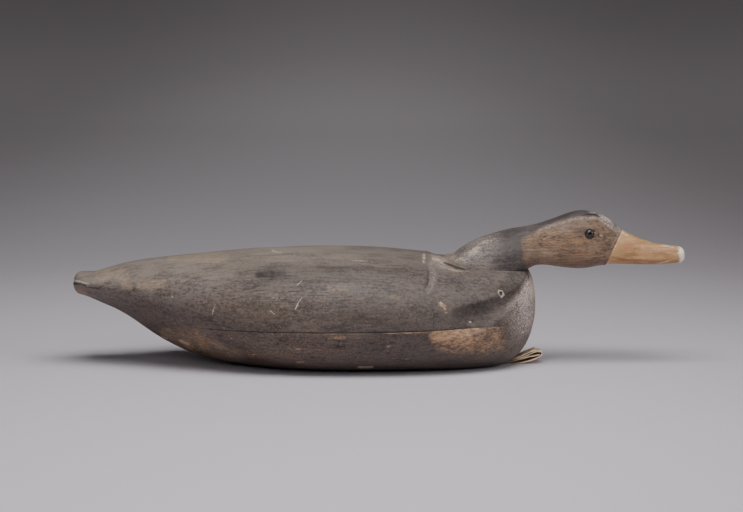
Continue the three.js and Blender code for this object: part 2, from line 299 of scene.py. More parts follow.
@dataclass
class Section:
    """A cross-section of a carved form: a superellipse with its own upper and lower fullness."""

    half_width: np.ndarray
    widest: np.ndarray
    top: np.ndarray
    bottom: np.ndarray
    upper_fullness: np.ndarray
    lower_fullness: np.ndarray

    def reach(self, angle: np.ndarray) -> np.ndarray:
        """How far the section reaches from its middle along a ray.

        Args:
            angle: The ray's angle above level, in radians.

        Returns:
            The reach in millimetres.
        """
        up = np.sin(angle)
        fullness = np.where(up > 0, self.upper_fullness, self.lower_fullness)
        height = np.where(up > 0, self.top - self.widest, self.widest - self.bottom)
        wide = np.maximum(self.half_width, TINY)
        tall = np.maximum(height, TINY)
        share = (np.abs(np.cos(angle)) / wide) ** fullness + (np.abs(up) / tall) ** fullness
        return share ** (-1 / fullness)

    def half_width_at(self, z: np.ndarray) -> np.ndarray:
        """Half-width at a height above the widest line."""
        up = np.clip((z - self.widest) / np.maximum(self.top - self.widest, TINY), 0, 1)
        return self.half_width * (1 - up**self.upper_fullness) ** (1 / self.upper_fullness)


# Building meshes


def outward(points: np.ndarray, loop: bool) -> np.ndarray:
    """Unit normals of a grid of rings, pointing out.

    Args:
        points: The grid, as rings by columns by 3.
        loop: Whether the last column joins the first smoothly.

    Returns:
        One normal for each grid point.
    """
    along = np.gradient(points, axis=0)
    if loop:
        around = np.roll(points, -1, axis=1) - np.roll(points, 1, axis=1)
    else:
        around = np.gradient(points, axis=1)
    normal = np.cross(around, along)
    size = np.linalg.norm(normal, axis=-1, keepdims=True)
    normal = normal / np.maximum(size, TINY)
    from_middle = points - points.mean(axis=1, keepdims=True)
    return normal * np.sign((normal * from_middle).sum())


def grid_piece(name: str, points: np.ndarray) -> bpy.types.Object:
    """Makes a closed piece of a grid of rings that each close on themselves.

    Args:
        name: The piece's name.
        points: The grid in millimetres, as rings by columns by 3.

    Returns:
        The new object, in the part's own frame.
    """
    rings, columns = points.shape[:2]
    index = np.arange(rings * columns).reshape(rings, columns)
    after = np.roll(index, -1, axis=1)
    faces = np.stack([index[:-1], after[:-1], after[1:], index[1:]], axis=-1).reshape(-1, 4)
    mesh = bpy.data.meshes.new(name)
    mesh.from_pydata((points.reshape(-1, 3) * MM).tolist(), [], faces.tolist())
    work = bmesh.new()
    work.from_mesh(mesh)
    work.verts.ensure_lookup_table()
    # An end ring that is nearly a point becomes one, so that the mesh stays closed
    for end in (work.verts[:columns], work.verts[-columns:]):
        if max((vertex.co - end[0].co).length for vertex in end) < WELD * columns:
            bmesh.ops.pointmerge(work, verts=end, merge_co=end[0].co)
            work.verts.ensure_lookup_table()
    bmesh.ops.holes_fill(work, edges=[edge for edge in work.edges if edge.is_boundary])
    bmesh.ops.recalc_face_normals(work, faces=work.faces)
    work.to_mesh(mesh)
    work.free()
    piece = bpy.data.objects.new(name, mesh)
    bpy.context.scene.collection.objects.link(piece)
    return piece


def carve(piece: bpy.types.Object, tool: bpy.types.Object) -> None:
    """Cuts a closed tool out of a closed piece and removes the tool."""
    cut = piece.modifiers.new("carve", "BOOLEAN")
    cut.operation = "DIFFERENCE"
    cut.solver = "MANIFOLD"
    cut.object = tool
    seen = piece.evaluated_get(bpy.context.evaluated_depsgraph_get())
    mesh = bpy.data.meshes.new_from_object(seen)
    piece.modifiers.clear()
    piece.data = mesh
    bpy.data.objects.remove(tool)


def smooth(piece: bpy.types.Object) -> None:
    """Shades a piece smooth, with its sharp edges kept sharp."""
    work = bmesh.new()
    work.from_mesh(piece.data)
    for edge in work.edges:
        edge.smooth = edge.is_manifold and edge.calc_face_angle(math.pi) < SHARP_EDGE
    for face in work.faces:
        face.smooth = True
    work.to_mesh(piece.data)
    work.free()


def places(piece: bpy.types.Object) -> np.ndarray:
    """Every vertex of a piece, in millimetres."""
    flat = np.empty(len(piece.data.vertices) * 3, np.float32)
    piece.data.vertices.foreach_get("co", flat)
    return flat.reshape(-1, 3).astype(float) / MM


def store(piece: bpy.types.Object, values: dict[str, np.ndarray]) -> None:
    """Stores numbers for each vertex, which the piece's material reads by their names."""
    for name, value in values.items():
        layer = piece.data.attributes.new(name, "FLOAT", "POINT")
        layer.data.foreach_set("value", np.ascontiguousarray(value, np.float32))


def spaced(table: np.ndarray, weight: np.ndarray, count: int) -> np.ndarray:
    """Places count steps along a table so that each carries the same weight.

    Args:
        table: Rising or falling values to choose from.
        weight: How much lies between each value and the next.
        count: How many steps to make.

    Returns:
        The count + 1 chosen values, both ends included.
    """
    total = np.concatenate([[0], np.cumsum(weight)])
    return np.interp(np.linspace(0, total[-1], count + 1), total, table)


def crowded_ends(start: float, end: float) -> np.ndarray:
    """Many places from start to end, closer together at both ends."""
    turn = np.linspace(0, math.pi, FINE_PLACES)
    return start + (end - start) * (1 - np.cos(turn)) / 2


@dataclass
class Loft:
    """Rings of rays across x, spaced evenly over the surface."""

    middle: Callable[[np.ndarray], np.ndarray]
    reach: Callable[[np.ndarray, np.ndarray], np.ndarray]
    fine_rays: int = 260
    near: tuple[float, ...] = (0.3, 0.7, 1.2, 1.9, 2.8)
    near_room: float = 8
    flat_share: float = 0.3

    def points(self, x: np.ndarray, angle: np.ndarray) -> tuple[np.ndarray, np.ndarray]:
        """Side and height reached along rays at x."""
        reach = self.reach(x, angle)
        return reach * np.cos(angle), self.middle(x) + reach * np.sin(angle)

    def half(self, x: np.ndarray, start: np.ndarray, pole: float, count: int) -> np.ndarray:
        """Chooses the rays of each ring on one side.

        Args:
            x: The rings.
            start: Each ring's first ray, in radians.
            pole: The last ray of all rings, straight up or down.
            count: How many steps each ring gets.

        Returns:
            Angles, as rings by count + 1.
        """
        share = np.linspace(0, 1, self.fine_rays)
        fine = start[:, None] + (pole - start[:, None]) * share
        side, height = self.points(x[:, None], fine)
        flat = np.where(height[:, 1:] < TINY, self.flat_share, 1)
        step = np.hypot(np.diff(side), np.diff(height)) * flat + TINY
        run = np.concatenate([np.zeros((len(x), 1)), np.cumsum(step, axis=1)], axis=1)
        rays = np.empty((len(x), count + 1))
        for i, total in enumerate(run[:, -1]):
            near = np.array(self.near) * min(1, total / (self.near_room * self.near[-1]))
            rest = np.linspace(near[-1], total, count + 1 - len(near))[1:]
            rays[i] = np.interp(np.concatenate([[0], near, rest]), run[i], fine[i])
        return rays

    def grid(self, x: np.ndarray, rays: np.ndarray, loop: bool) -> np.ndarray:
        """Places both sides of every ring.

        Args:
            x: The rings.
            rays: Angles of the left side, as rings by steps.
            loop: Whether the first ray lies on the middle line and is shared by both sides.

        Returns:
            The grid of points, left side first.
        """
        side, height = self.points(x[:, None], rays)
        mirror = slice(-2, 0, -1) if loop else slice(-2, None, -1)
        y = np.concatenate([side, -side[:, mirror]], axis=1)
        z = np.concatenate([height, height[:, mirror]], axis=1)
        return np.stack([np.broadcast_to(x[:, None], y.shape), y, z], axis=-1)


# Shader helpers


@dataclass(frozen=True)
class Grain:
    """Unevenness of a surface: the size of its grains along x, y and z, and its finer layers.

    Two grains that are otherwise alike differ by their shift.
    """

    size: Point
    detail: float = 3
    rough: float = 0.6
    shift: float = 0


@dataclass(frozen=True)
class Recipe:
    """How much of each layer makes up a mask, where the mask starts and is full, and how strong it is."""

    shares: dict[str, float]
    span: Span | None = None
    strong: float = 1


@dataclass(frozen=True)
class Mark:
    """A thin straight mark on the near side, between two ends given as (x, z)."""

    start: Span
    end: Span
    half_width: float = 0.4
    strong: float = 0.8


class Link:
    """A value or a colour in a material that Python can reckon with."""

    def __init__(self, shader: "Shader", socket: bpy.types.NodeSocket) -> None:
        """Wraps a socket of a shader."""
        self.shader = shader
        self.socket = socket

    def __add__(self, other: "Value") -> "Link":
        """Sum."""
        return self.shader.math("ADD", self, other)

    __radd__ = __add__

    def __sub__(self, other: "Value") -> "Link":
        """Difference."""
        return self.shader.math("SUBTRACT", self, other)

    def __rsub__(self, other: "Value") -> "Link":
        """Difference the other way round."""
        return self.shader.math("SUBTRACT", other, self)

    def __mul__(self, other: "Value") -> "Link":
        """Product."""
        return self.shader.math("MULTIPLY", self, other)

    __rmul__ = __mul__

    def __truediv__(self, other: "Value") -> "Link":
        """Quotient."""
        return self.shader.math("DIVIDE", self, other)

    def __abs__(self) -> "Link":
        """Size without sign."""
        return self.shader.math("ABSOLUTE", self)


Value = Link | float
Layers = dict[str, Link]


class Shader:
    """A node material under construction."""

    SWAY = 5
    STROKE_EDGE = (1.4, 0.4)
    FRAY_SHARES = (0.26, 0.2)
    FRAY_SPAN = (0.02, 0.35)
    BROKEN_SPAN = (0.28, 0.76)

    def __init__(self, name: str) -> None:
        """Starts an empty material with a Principled shader and its output."""
        self.material = bpy.data.materials.new(name)
        self.material.use_nodes = True
        self.tree = self.material.node_tree
        self.tree.nodes.clear()
        self.surface = self.tree.nodes.new("ShaderNodeBsdfPrincipled")
        output = self.tree.nodes.new("ShaderNodeOutputMaterial")
        self.tree.links.new(self.surface.outputs[0], output.inputs[0])
        metres = self.node("ShaderNodeTexCoord", output="Object")
        self.place = self.node("ShaderNodeVectorMath", {"operation": "SCALE"}, {0: metres, "Scale": 1 / MM})
        self.x = self.node("ShaderNodeSeparateXYZ", inputs={0: self.place})
        self.y, self.z = (Link(self, self.x.socket.node.outputs[axis]) for axis in (1, 2))

    def node(
        self, kind: str, settings: dict | None = None, inputs: dict | None = None, output: int | str = 0
    ) -> Link:
        """Adds any node.

        Args:
            kind: The node's type.
            settings: Its properties, set first.
            inputs: Values or links for its sockets, by name or number.
            output: Which output to return.

        Returns:
            The chosen output.
        """
        node = self.tree.nodes.new(kind)
        for name, value in (settings or {}).items():
            setattr(node, name, value)
        for name, value in (inputs or {}).items():
            self.feed(node.inputs[name], value)
        return Link(self, node.outputs[output])

    def feed(self, socket: bpy.types.NodeSocket, value: "Value | tuple") -> None:
        """Gives a socket a link, a number or a colour."""
        if isinstance(value, Link):
            self.tree.links.new(value.socket, socket)
        elif isinstance(value, tuple) and len(socket.default_value) == len(value) + 1:
            socket.default_value = (*value, 1)
        else:
            socket.default_value = value

    def math(self, operation: str, *values: "Value") -> Link:
        """A Math node on one to three values."""
        return self.node("ShaderNodeMath", {"operation": operation}, dict(enumerate(values)))

    def step(self, value: "Value", span: Span) -> Link:
        """Rises smoothly from 0 at the span's first value to 1 at its second, the larger one or not."""
        first, last = (0, 1) if span[0] < span[1] else (1, 0)
        inputs = {0: value, 1: min(span), 2: max(span), 3: first, 4: last}
        return self.node("ShaderNodeMapRange", {"interpolation_type": "SMOOTHSTEP"}, inputs)

    def mix(self, mask: "Value", under: "Link | Colour", over: "Link | Colour") -> Link:
        """Lays one colour over another as far as a mask shows it."""
        return self.node("ShaderNodeMix", {"data_type": "RGBA"}, {0: mask, 6: under, 7: over}, output=2)

    def noise(self, grain: Grain) -> Link:
        """Noise of a grain between 0 and 1."""
        scale = tuple(1 / size for size in grain.size)
        moved = (grain.shift + OFF_LATTICE, grain.shift, grain.shift)
        at = self.node("ShaderNodeMapping", inputs={"Location": moved, "Scale": scale, "Vector": self.place})
        inputs = {"Vector": at, "Scale": 1.0, "Detail": grain.detail, "Roughness": grain.rough}
        return self.node("ShaderNodeTexNoise", inputs=inputs)

    def sway(self, grain: Grain) -> Link:
        """Noise of a grain about zero, nearly all of it between -1 and 1."""
        return (self.noise(grain) - 0.5) * self.SWAY

    def layers(self, grains: dict[str, Grain]) -> Layers:
        """The sway of every grain, by its name."""
        return {name: self.sway(grain) for name, grain in grains.items()}

    def attribute(self, name: str) -> Link:
        """A number stored on the mesh."""
        return self.node("ShaderNodeAttribute", {"attribute_name": name}, output="Fac")

    def total(self, shares: dict[str, float], layers: Layers) -> Link:
        """The sum of layers, each times its share."""
        first, *rest = (layers[name] * share for name, share in shares.items())
        return sum(rest, start=first)

    def mask(self, recipe: Recipe, layers: Layers, stored: str | None = None) -> Link:
        """Makes a mask of layers.

        Args:
            recipe: The mask's shares, span and strength.
            layers: The layers that the shares are of.
            stored: A number stored on the mesh, which the layers then make uneven.

        Returns:
            The mask.
        """
        value = self.total(recipe.shares, layers)
        if stored is not None:
            value = self.attribute(stored) * (value + 1.0)
        if recipe.span is not None:
            value = self.step(value, recipe.span)
        return value if recipe.strong == 1 else value * recipe.strong

    def broken(self, name: str, coarse: Link, fine: Link) -> Link:
        """A stored cover as a mask with a ragged, broken edge.

        Args:
            name: The number stored on the mesh.
            coarse: Unevenness that breaks the mask into islands.
            fine: Unevenness that frays their edges.

        Returns:
            The mask.
        """
        cover = self.attribute(name)
        coarse_share, fine_share = self.FRAY_SHARES
        fray = (coarse * coarse_share + fine * fine_share) * self.step(cover, self.FRAY_SPAN)
        return self.step(cover + fray, self.BROKEN_SPAN)

    def apart(self, across: Link, up: Link) -> Link:
        """The length of a way across and up."""
        return self.math("SQRT", across * across + up * up)

    def stroke(self, mark: Mark) -> Link:
        """The mask of a thin straight mark."""
        run = [end - start for start, end in zip(mark.start, mark.end)]
        long = max(math.hypot(*run), TINY)
        from_x = self.x - mark.start[0]
        from_z = self.z - mark.start[1]
        along = (from_x * (run[0] / long) + from_z * (run[1] / long)) / long
        part = self.node("ShaderNodeClamp", inputs={0: along})
        gap = self.apart(from_x - part * run[0], from_z - part * run[1])
        nothing, full = (mark.half_width * share for share in self.STROKE_EDGE)
        return self.step(gap, (nothing, full)) * mark.strong

    def finish(
        self, colour: Link, rough: "Value", shine: float, height: Link | None = None, depth: float = 0
    ) -> None:
        """Joins the colours, the roughness and the relief to the surface.

        Args:
            colour: The base colour.
            rough: The roughness.
            shine: The specular level, one number all over.
            height: The fine relief, or none.
            depth: How deep that relief is, in millimetres.
        """
        self.feed(self.surface.inputs["Base Color"], colour)
        self.feed(self.surface.inputs["Roughness"], rough)
        self.surface.inputs["Specular IOR Level"].default_value = shine
        if height is not None:
            inputs = {"Height": height, "Distance": depth * MM, "Strength": 1.0}
            self.feed(self.surface.inputs["Normal"], self.node("ShaderNodeBump", inputs=inputs))


def screen(red: float, green: float, blue: float) -> Colour:
    """A colour given in screen values of 0 to 255, as linear light."""
    full, toe, power = SCREEN_CURVE
    return tuple(((value / full + toe) / (1 + toe)) ** power for value in (red, green, blue))


# Finishes


@dataclass(frozen=True)
class OldPaint:
    """Old thin paint over wood: streaky with the grain, dusty on top, worn to the wood in places, with
    painted shade, painted highlight and painted sheen where the mesh says so.
    """

    GROUND = {
        "broad": Grain((95, 28, 24), 3, 0.55),
        "cloud": Grain((30, 11, 10), 4, 0.6, 2),
        "streak": Grain((40, 2.4, 2.0), 4, 0.65, 3),
        "fibre": Grain((15, 1.3, 1.1), 3, 0.6, 7),
        "mottle": Grain((2.6, 1.8, 1.7), 4, 0.72, 13),
    }
    TONE = Recipe(
        {"broad": 0.12, "cloud": 0.16, "streak": 0.18, "fibre": 0.19, "mottle": 0.3}, (-0.46, 0.46)
    )
    COOL = Recipe({"broad": 0.4, "fibre": 0.3, "cloud": 0.5}, (0.1, 0.9), 0.3)
    BROWN = Recipe({"cloud": 0.4, "mottle": 0.5, "broad": -0.4}, (-0.4, 0.8))
    HIGH = Recipe({"height": 1, "cloud": 3, "streak": 2.5}, (74, 93))
    DUSTY = Recipe({"cloud": 0.4, "streak": 0.4, "mottle": 0.25}, (-0.7, 0.5))
    DUST_EVEN = 0.35
    DUST_SLOPE = 0.09
    RELIEF = {"streak": 0.3, "fibre": 0.4, "mottle": 0.3}
    LOWER_SPAN = (70, 40)
    LOWER_BROWN = 0.25
    LOWER_DARK = 0.28
    WORN = {
        "coarse": Grain((7, 3.2, 3), 3, 0.65, 19),
        "fine": Grain((2.2, 1.2, 1.1), 3, 0.65, 23),
        "grain": Grain((12, 1.5, 1.3), 3, 0.6, 27),
        "spot": Grain((2.6, 1.8, 1.6), 4, 0.7, 29),
        "spot_cloud": Grain((40, 22, 18), 2, 0.5, 31),
        "crumb": Grain((1.5, 1.2, 1.1), 2, 0.5, 37),
        "crumb_cloud": Grain((30, 16, 14), 2, 0.5, 39),
        "pit": Grain((1.8, 1.3, 1.2), 2, 0.5, 33),
    }
    STAIN = Recipe({"coarse": 0.5, "grain": 0.4, "fine": 0.35}, (0.1, 1.2), 0.75)
    BLOTCHES = Recipe({"coarse": 1, "fine": 1}, (-0.6, 0.6))
    SPOTS = Recipe({"spot": 1, "spot_cloud": 0.35, "low": 1}, (0.55, 1.2), 0.6)
    CRUMBS = Recipe({"crumb": 1, "crumb_cloud": 0.3, "low": 0.5}, (0.6, 1.25), 0.4)
    PITS = Recipe({"pit": 1}, (-0.7, -1.2), 0.4)
    SHADE = Recipe({"grain": 0.2, "coarse": 0.2}, None, 0.75)
    STIPPLE = Recipe(
        {"fine": 1, "crumb": 1, "crumb_cloud": 0.3, "grain": 0.3}, (-0.7, 0.9)
    )
    BREAST_THIN = 0.1
    WOOD = Recipe({"grain": 1, "coarse": 0.7}, (-0.9, 0.7))
    RUBBED = Recipe({"grain": 0.35, "fine": 0.3, "coarse": 0.25}, (0.1, 1.0), 0.78)
    BARE_STRONG = 0.8
    PALE_STRONG = 0.7
    DARK_STRONG = 0.8
    LOW_SPAN = (74, 34)
    NEAR_SPAN = (0, -2)
    MARK_GRAIN = Grain((2, 1.4, 1.4), 2, 0.5, 61)
    MARK_SPAN = (-1, 0.3)
    ROUGH_SWAY = 0.12

    name: str
    dark: Colour
    light: Colour
    warm: Colour
    dust: Colour
    cool: Colour = screen(92, 98, 100)
    warmth: float = 0.3
    dustiness: float = 0.6
    flecks: float = 0.0
    wood: Colour = screen(184, 146, 112)
    # Pale worn paint, also laid as painted highlight on edges that catch the light
    wood_dark: Colour = screen(128, 98, 78)
    pale: Colour = screen(204, 186, 164)
    stain: Colour = screen(156, 140, 112)
    blotch: Colour = screen(172, 146, 126)
    # Near black for pits, cracks and dark lines, and also the colour of the painted shade
    pit: Colour = screen(34, 31, 32)
    scratch: Colour = screen(214, 204, 184)
    # Pale stipple of dust, also laid as painted sheen where a surface faces the light
    breast: Colour = screen(186, 171, 165)
    scratches: tuple[Mark, ...] = ()
    cracks: tuple[Mark, ...] = ()
    rough: float = 0.62
    relief_depth: float = 0.1
    shine: float = 0.35

    def ground(self, shader: Shader) -> tuple[Link, Link]:
        """Lays the streaky paint itself.

        Args:
            shader: The material under construction.

        Returns:
            The colour and the fine relief.
        """
        layers = shader.layers(self.GROUND)
        layers["height"] = shader.z - shader.x * self.DUST_SLOPE
        colour = shader.mix(shader.mask(self.TONE, layers), self.dark, self.light)
        colour = shader.mix(shader.mask(self.COOL, layers), colour, self.cool)
        lower = shader.step(shader.z, self.LOWER_SPAN)
        brown = shader.mask(self.BROWN, layers) * (lower * self.LOWER_BROWN + self.warmth)
        colour = shader.mix(brown, colour, self.warm)
        colour = shader.mix(lower * self.LOWER_DARK, colour, self.dark)
        dusty = shader.mask(self.DUSTY, layers) * (1 - self.DUST_EVEN) + self.DUST_EVEN
        dust = shader.mask(self.HIGH, layers) * dusty * self.dustiness
        return shader.mix(dust, colour, self.dust), shader.total(self.RELIEF, layers)

    def wear(self, shader: Shader, colour: Link) -> Link:
        """Wears the paint where the mesh says so, and everywhere in small flecks, and lays the painted shade
        and the pale stipple of dust and painted sheen.

        Args:
            shader: The material under construction.
            colour: The paint so far.

        Returns:
            The worn colour.
        """
        layers = shader.layers(self.WORN)
        layers["low"] = shader.step(shader.z, self.LOW_SPAN) * self.flecks
        stained = shader.mix(shader.mask(self.BLOTCHES, layers), self.stain, self.blotch)
        for recipe, stored, over in (
            (self.STAIN, "stain", stained),
            (self.SPOTS, None, self.warm),
            (self.CRUMBS, None, self.blotch),
            (self.PITS, None, self.pit),
            # painted shade, as far as the mesh stores it, laid in the pit colour
            (self.SHADE, "shade", self.pit),
        ):
            colour = shader.mix(shader.mask(recipe, layers, stored), colour, over)
        # Pale stipple of dust with painted sheen, as far as the mesh stores it
        stipple = shader.mask(self.STIPPLE, layers) + self.BREAST_THIN
        colour = shader.mix(shader.attribute("breast") * stipple, colour, self.breast)
        wood = shader.mix(shader.mask(self.WOOD, layers), self.wood_dark, self.wood)
        colour = shader.mix(shader.mask(self.RUBBED, layers, "rubbed"), colour, wood)
        coarse, fine = layers["coarse"], layers["fine"]
        for name, unevenness, strong, over in (
            ("bare", (coarse, fine), self.BARE_STRONG, wood),
            ("pale", (coarse, fine), self.PALE_STRONG, self.pale),
            ("dark", (fine, coarse), self.DARK_STRONG, self.pit),
        ):
            colour = shader.mix(shader.broken(name, *unevenness) * strong, colour, over)
        return colour

    def marks(self, shader: Shader, colour: Link) -> Link:
        """Scratches the near side, and the cracks in it.

        Args:
            shader: The material under construction.
            colour: The paint so far.

        Returns:
            The marked colour.
        """
        near = shader.step(shader.y, self.NEAR_SPAN)
        patchy = shader.step(shader.sway(self.MARK_GRAIN), self.MARK_SPAN)
        for marks, over in ((self.scratches, self.scratch), (self.cracks, self.pit)):
            for mark in marks:
                colour = shader.mix(shader.stroke(mark) * near * patchy, colour, over)
        return colour

    def coat(self, shader: Shader, colour: Link) -> Link:
        """Wears the whole coat of paint."""
        return self.wear(shader, colour)

    def make(self) -> bpy.types.Material:
        """Builds the whole material."""
        shader = Shader(self.name)
        colour, relief = self.ground(shader)
        colour = self.marks(shader, self.coat(shader, colour))
        rough = relief * self.ROUGH_SWAY + self.rough
        shader.finish(colour, rough, self.shine, relief, self.relief_depth)
        return shader.material


@dataclass(frozen=True)
class HeadPaint(OldPaint):
    """The head's paint: a grey crown and neck, a brown grained cheek and a tan bill."""

    CHEEK = {
        "grain": Grain((30, 1.9, 1.4), 4, 0.65, 43),
        "fibre": Grain((10, 1.1, 0.9), 3, 0.6, 47),
        "cloud": Grain((14, 7, 6), 3, 0.6, 44),
        "fleck": Grain((2.6, 0.9, 0.8), 2, 0.6, 49),
        "hue": Grain((9, 5, 4), 3, 0.6, 45),
    }
    CHEEK_TONE = Recipe(
        {"grain": 0.24, "fibre": 0.2, "cloud": 0.14, "fleck": 0.16}, (-0.5, 0.5)
    )
    CHEEK_RUST = Recipe({"hue": 1}, (0.25, 1.0), 0.5)
    CHEEK_MAUVE = Recipe({"hue": 1}, (-0.15, -0.9), 0.5)
    BILL = {
        "grain": Grain((22, 2.2, 1.6), 3, 0.6, 53),
        "cloud": Grain((12, 5, 4), 3, 0.6, 55),
        "fine": Grain((2.2, 1.4, 1.2), 3, 0.65, 57),
    }
    BILL_TONE = Recipe({"grain": 0.25, "cloud": 0.3, "fine": 0.12}, (-0.5, 0.45))
    BILL_ROOT = Recipe({"bill_side": 1, "cloud": 2}, (14, 3), 0.4)
    BLUSH_STRONG = 0.45
    TIP_STRONG = 0.95
    STORED = ("crown_side", "neck_side", "bill_side", "groove")
    WANDER = Grain((7, 3, 3), 3, 0.65, 41)
    ON_NECK = Recipe({"neck_side": 1}, (-34, -6), 0.4)
    BELOW_CROWN = Recipe({"crown_side": 1, "wander": 0.8}, (1.2, -1.2))
    PAST_NECK = Recipe({"neck_side": 1, "wander": 1.4}, (-2.2, 2.6))
    ON_BILL = Recipe({"bill_side": 1, "wander": 0.25}, (-0.5, 0.5))
    IN_GROOVE = Recipe({"groove": 1, "wander": 0.2}, (0.3, 1.0), 0.5)

    cheek: Colour = screen(166, 135, 106)
    cheek_dark: Colour = screen(78, 61, 52)
    rust: Colour = screen(158, 112, 82)
    mauve: Colour = screen(136, 114, 114)
    bill: Colour = screen(194, 154, 108)
    bill_dark: Colour = screen(146, 106, 72)
    blush: Colour = screen(176, 110, 90)
    # White of the worn bill tip, also laid as painted highlight along the bill's top edge
    tip: Colour = screen(255, 242, 222)
    groove: Colour = screen(112, 72, 54)
    rough: float = 0.56
    relief_depth: float = 0.08

    def dress_cheek(self, shader: Shader) -> Link:
        """The brown cheek with its level grain."""
        layers = shader.layers(self.CHEEK)
        cheek = shader.mix(shader.mask(self.CHEEK_TONE, layers), self.cheek_dark, self.cheek)
        cheek = shader.mix(shader.mask(self.CHEEK_RUST, layers), cheek, self.rust)
        return shader.mix(shader.mask(self.CHEEK_MAUVE, layers), cheek, self.mauve)

    def dress_bill(self, shader: Shader, bill_side: Link) -> Link:
        """The tan bill with its worn white tip."""
        layers = shader.layers(self.BILL)
        layers["bill_side"] = bill_side
        bill = shader.mix(shader.mask(self.BILL_TONE, layers), self.bill_dark, self.bill)
        bill = shader.mix(shader.mask(self.BILL_ROOT, layers), bill, self.bill)
        cloud, fine = layers["cloud"], layers["fine"]
        bill = shader.mix(shader.broken("blush", cloud, fine) * self.BLUSH_STRONG, bill, self.blush)
        return shader.mix(shader.broken("tip", cloud, fine) * self.TIP_STRONG, bill, self.tip)

    def coat(self, shader: Shader, colour: Link) -> Link:
        """Paints the cheek, wears the coat, and lays the bill and its groove over it."""
        layers = {name: shader.attribute(name) for name in self.STORED}
        layers["wander"] = shader.sway(self.WANDER)
        colour = shader.mix(shader.mask(self.ON_NECK, layers), colour, self.dark)
        on_cheek = shader.mask(self.BELOW_CROWN, layers) * shader.mask(self.PAST_NECK, layers)
        colour = self.wear(shader, shader.mix(on_cheek, colour, self.dress_cheek(shader)))
        bill = self.dress_bill(shader, layers["bill_side"])
        colour = shader.mix(shader.mask(self.ON_BILL, layers), colour, bill)
        return shader.mix(shader.mask(self.IN_GROOVE, layers), colour, self.groove)


@dataclass(frozen=True)
class EyeGlass:
    """Dark glass with a brown iris round a black pupil."""

    name: str = "eye_glass"
    pupil: Colour = screen(14, 13, 13)
    iris: Colour = screen(66, 59, 52)
    centre: Span = EYE_CENTRE
    pupil_span: Span = (1.4, 1.8)
    rim_span: Span = (2.75, 3.15)
    streaks: Grain = Grain((0.5, 0.5, 0.5), 2, 0.5, 5)
    streak_share: float = 0.4
    rough: float = 0.1
    rim_rough: float = 0.4
    shine: float = 0.5

    def make(self) -> bpy.types.Material:
        """Builds the whole material."""
        shader = Shader(self.name)
        radius = shader.apart(shader.x - self.centre[0], shader.z - self.centre[1])
        rim = shader.step(radius, self.rim_span)
        streaks = shader.noise(self.streaks) * self.streak_share + (1 - self.streak_share)
        colour = shader.mix(shader.step(radius, self.pupil_span) * streaks, self.pupil, self.iris)
        colour = shader.mix(rim, colour, self.pupil)
        shader.finish(colour, rim * self.rim_rough + self.rough, self.shine)
        return shader.material


@dataclass(frozen=True)
class DryLeather:
    """Dry tan leather, lighter along its cut edges, with grime and painted shade in its folds and painted
    shade where it runs under the body.
    """

    GRAINS = {
        "cloud": Grain((7, 4, 4), 4, 0.6),
        "grain": Grain((1.4, 1.2, 1.2), 3, 0.6, 3),
    }
    TONE = Recipe({"cloud": 1, "grain": 0.4}, (-0.8, 0.8))

    name: str = "leather"
    tan: Colour = screen(226, 202, 172)
    brown: Colour = screen(182, 148, 112)
    edge: Colour = screen(246, 226, 200)
    # Dark brown for grime and painted shade
    dirt_and_shade: Colour = screen(74, 52, 36)
    edge_share: float = 0.7
    dirt_and_shade_share: float = 0.75
    rough: float = 0.75
    rough_sway: float = 0.08
    relief_depth: float = 0.06
    shine: float = 0.25

    def make(self) -> bpy.types.Material:
        """Builds the whole material."""
        shader = Shader(self.name)
        layers = shader.layers(self.GRAINS)
        colour = shader.mix(shader.mask(self.TONE, layers), self.brown, self.tan)
        colour = shader.mix(shader.attribute("rim") * self.edge_share, colour, self.edge)
        # Grime and painted shade in the folds, and painted shade under the body
        colour = shader.mix(shader.attribute("dirty") * self.dirt_and_shade_share, colour, self.dirt_and_shade)
        rough = layers["grain"] * self.rough_sway + self.rough
        shader.finish(colour, rough, self.shine, layers["grain"], self.relief_depth)
        return shader.material


# The body


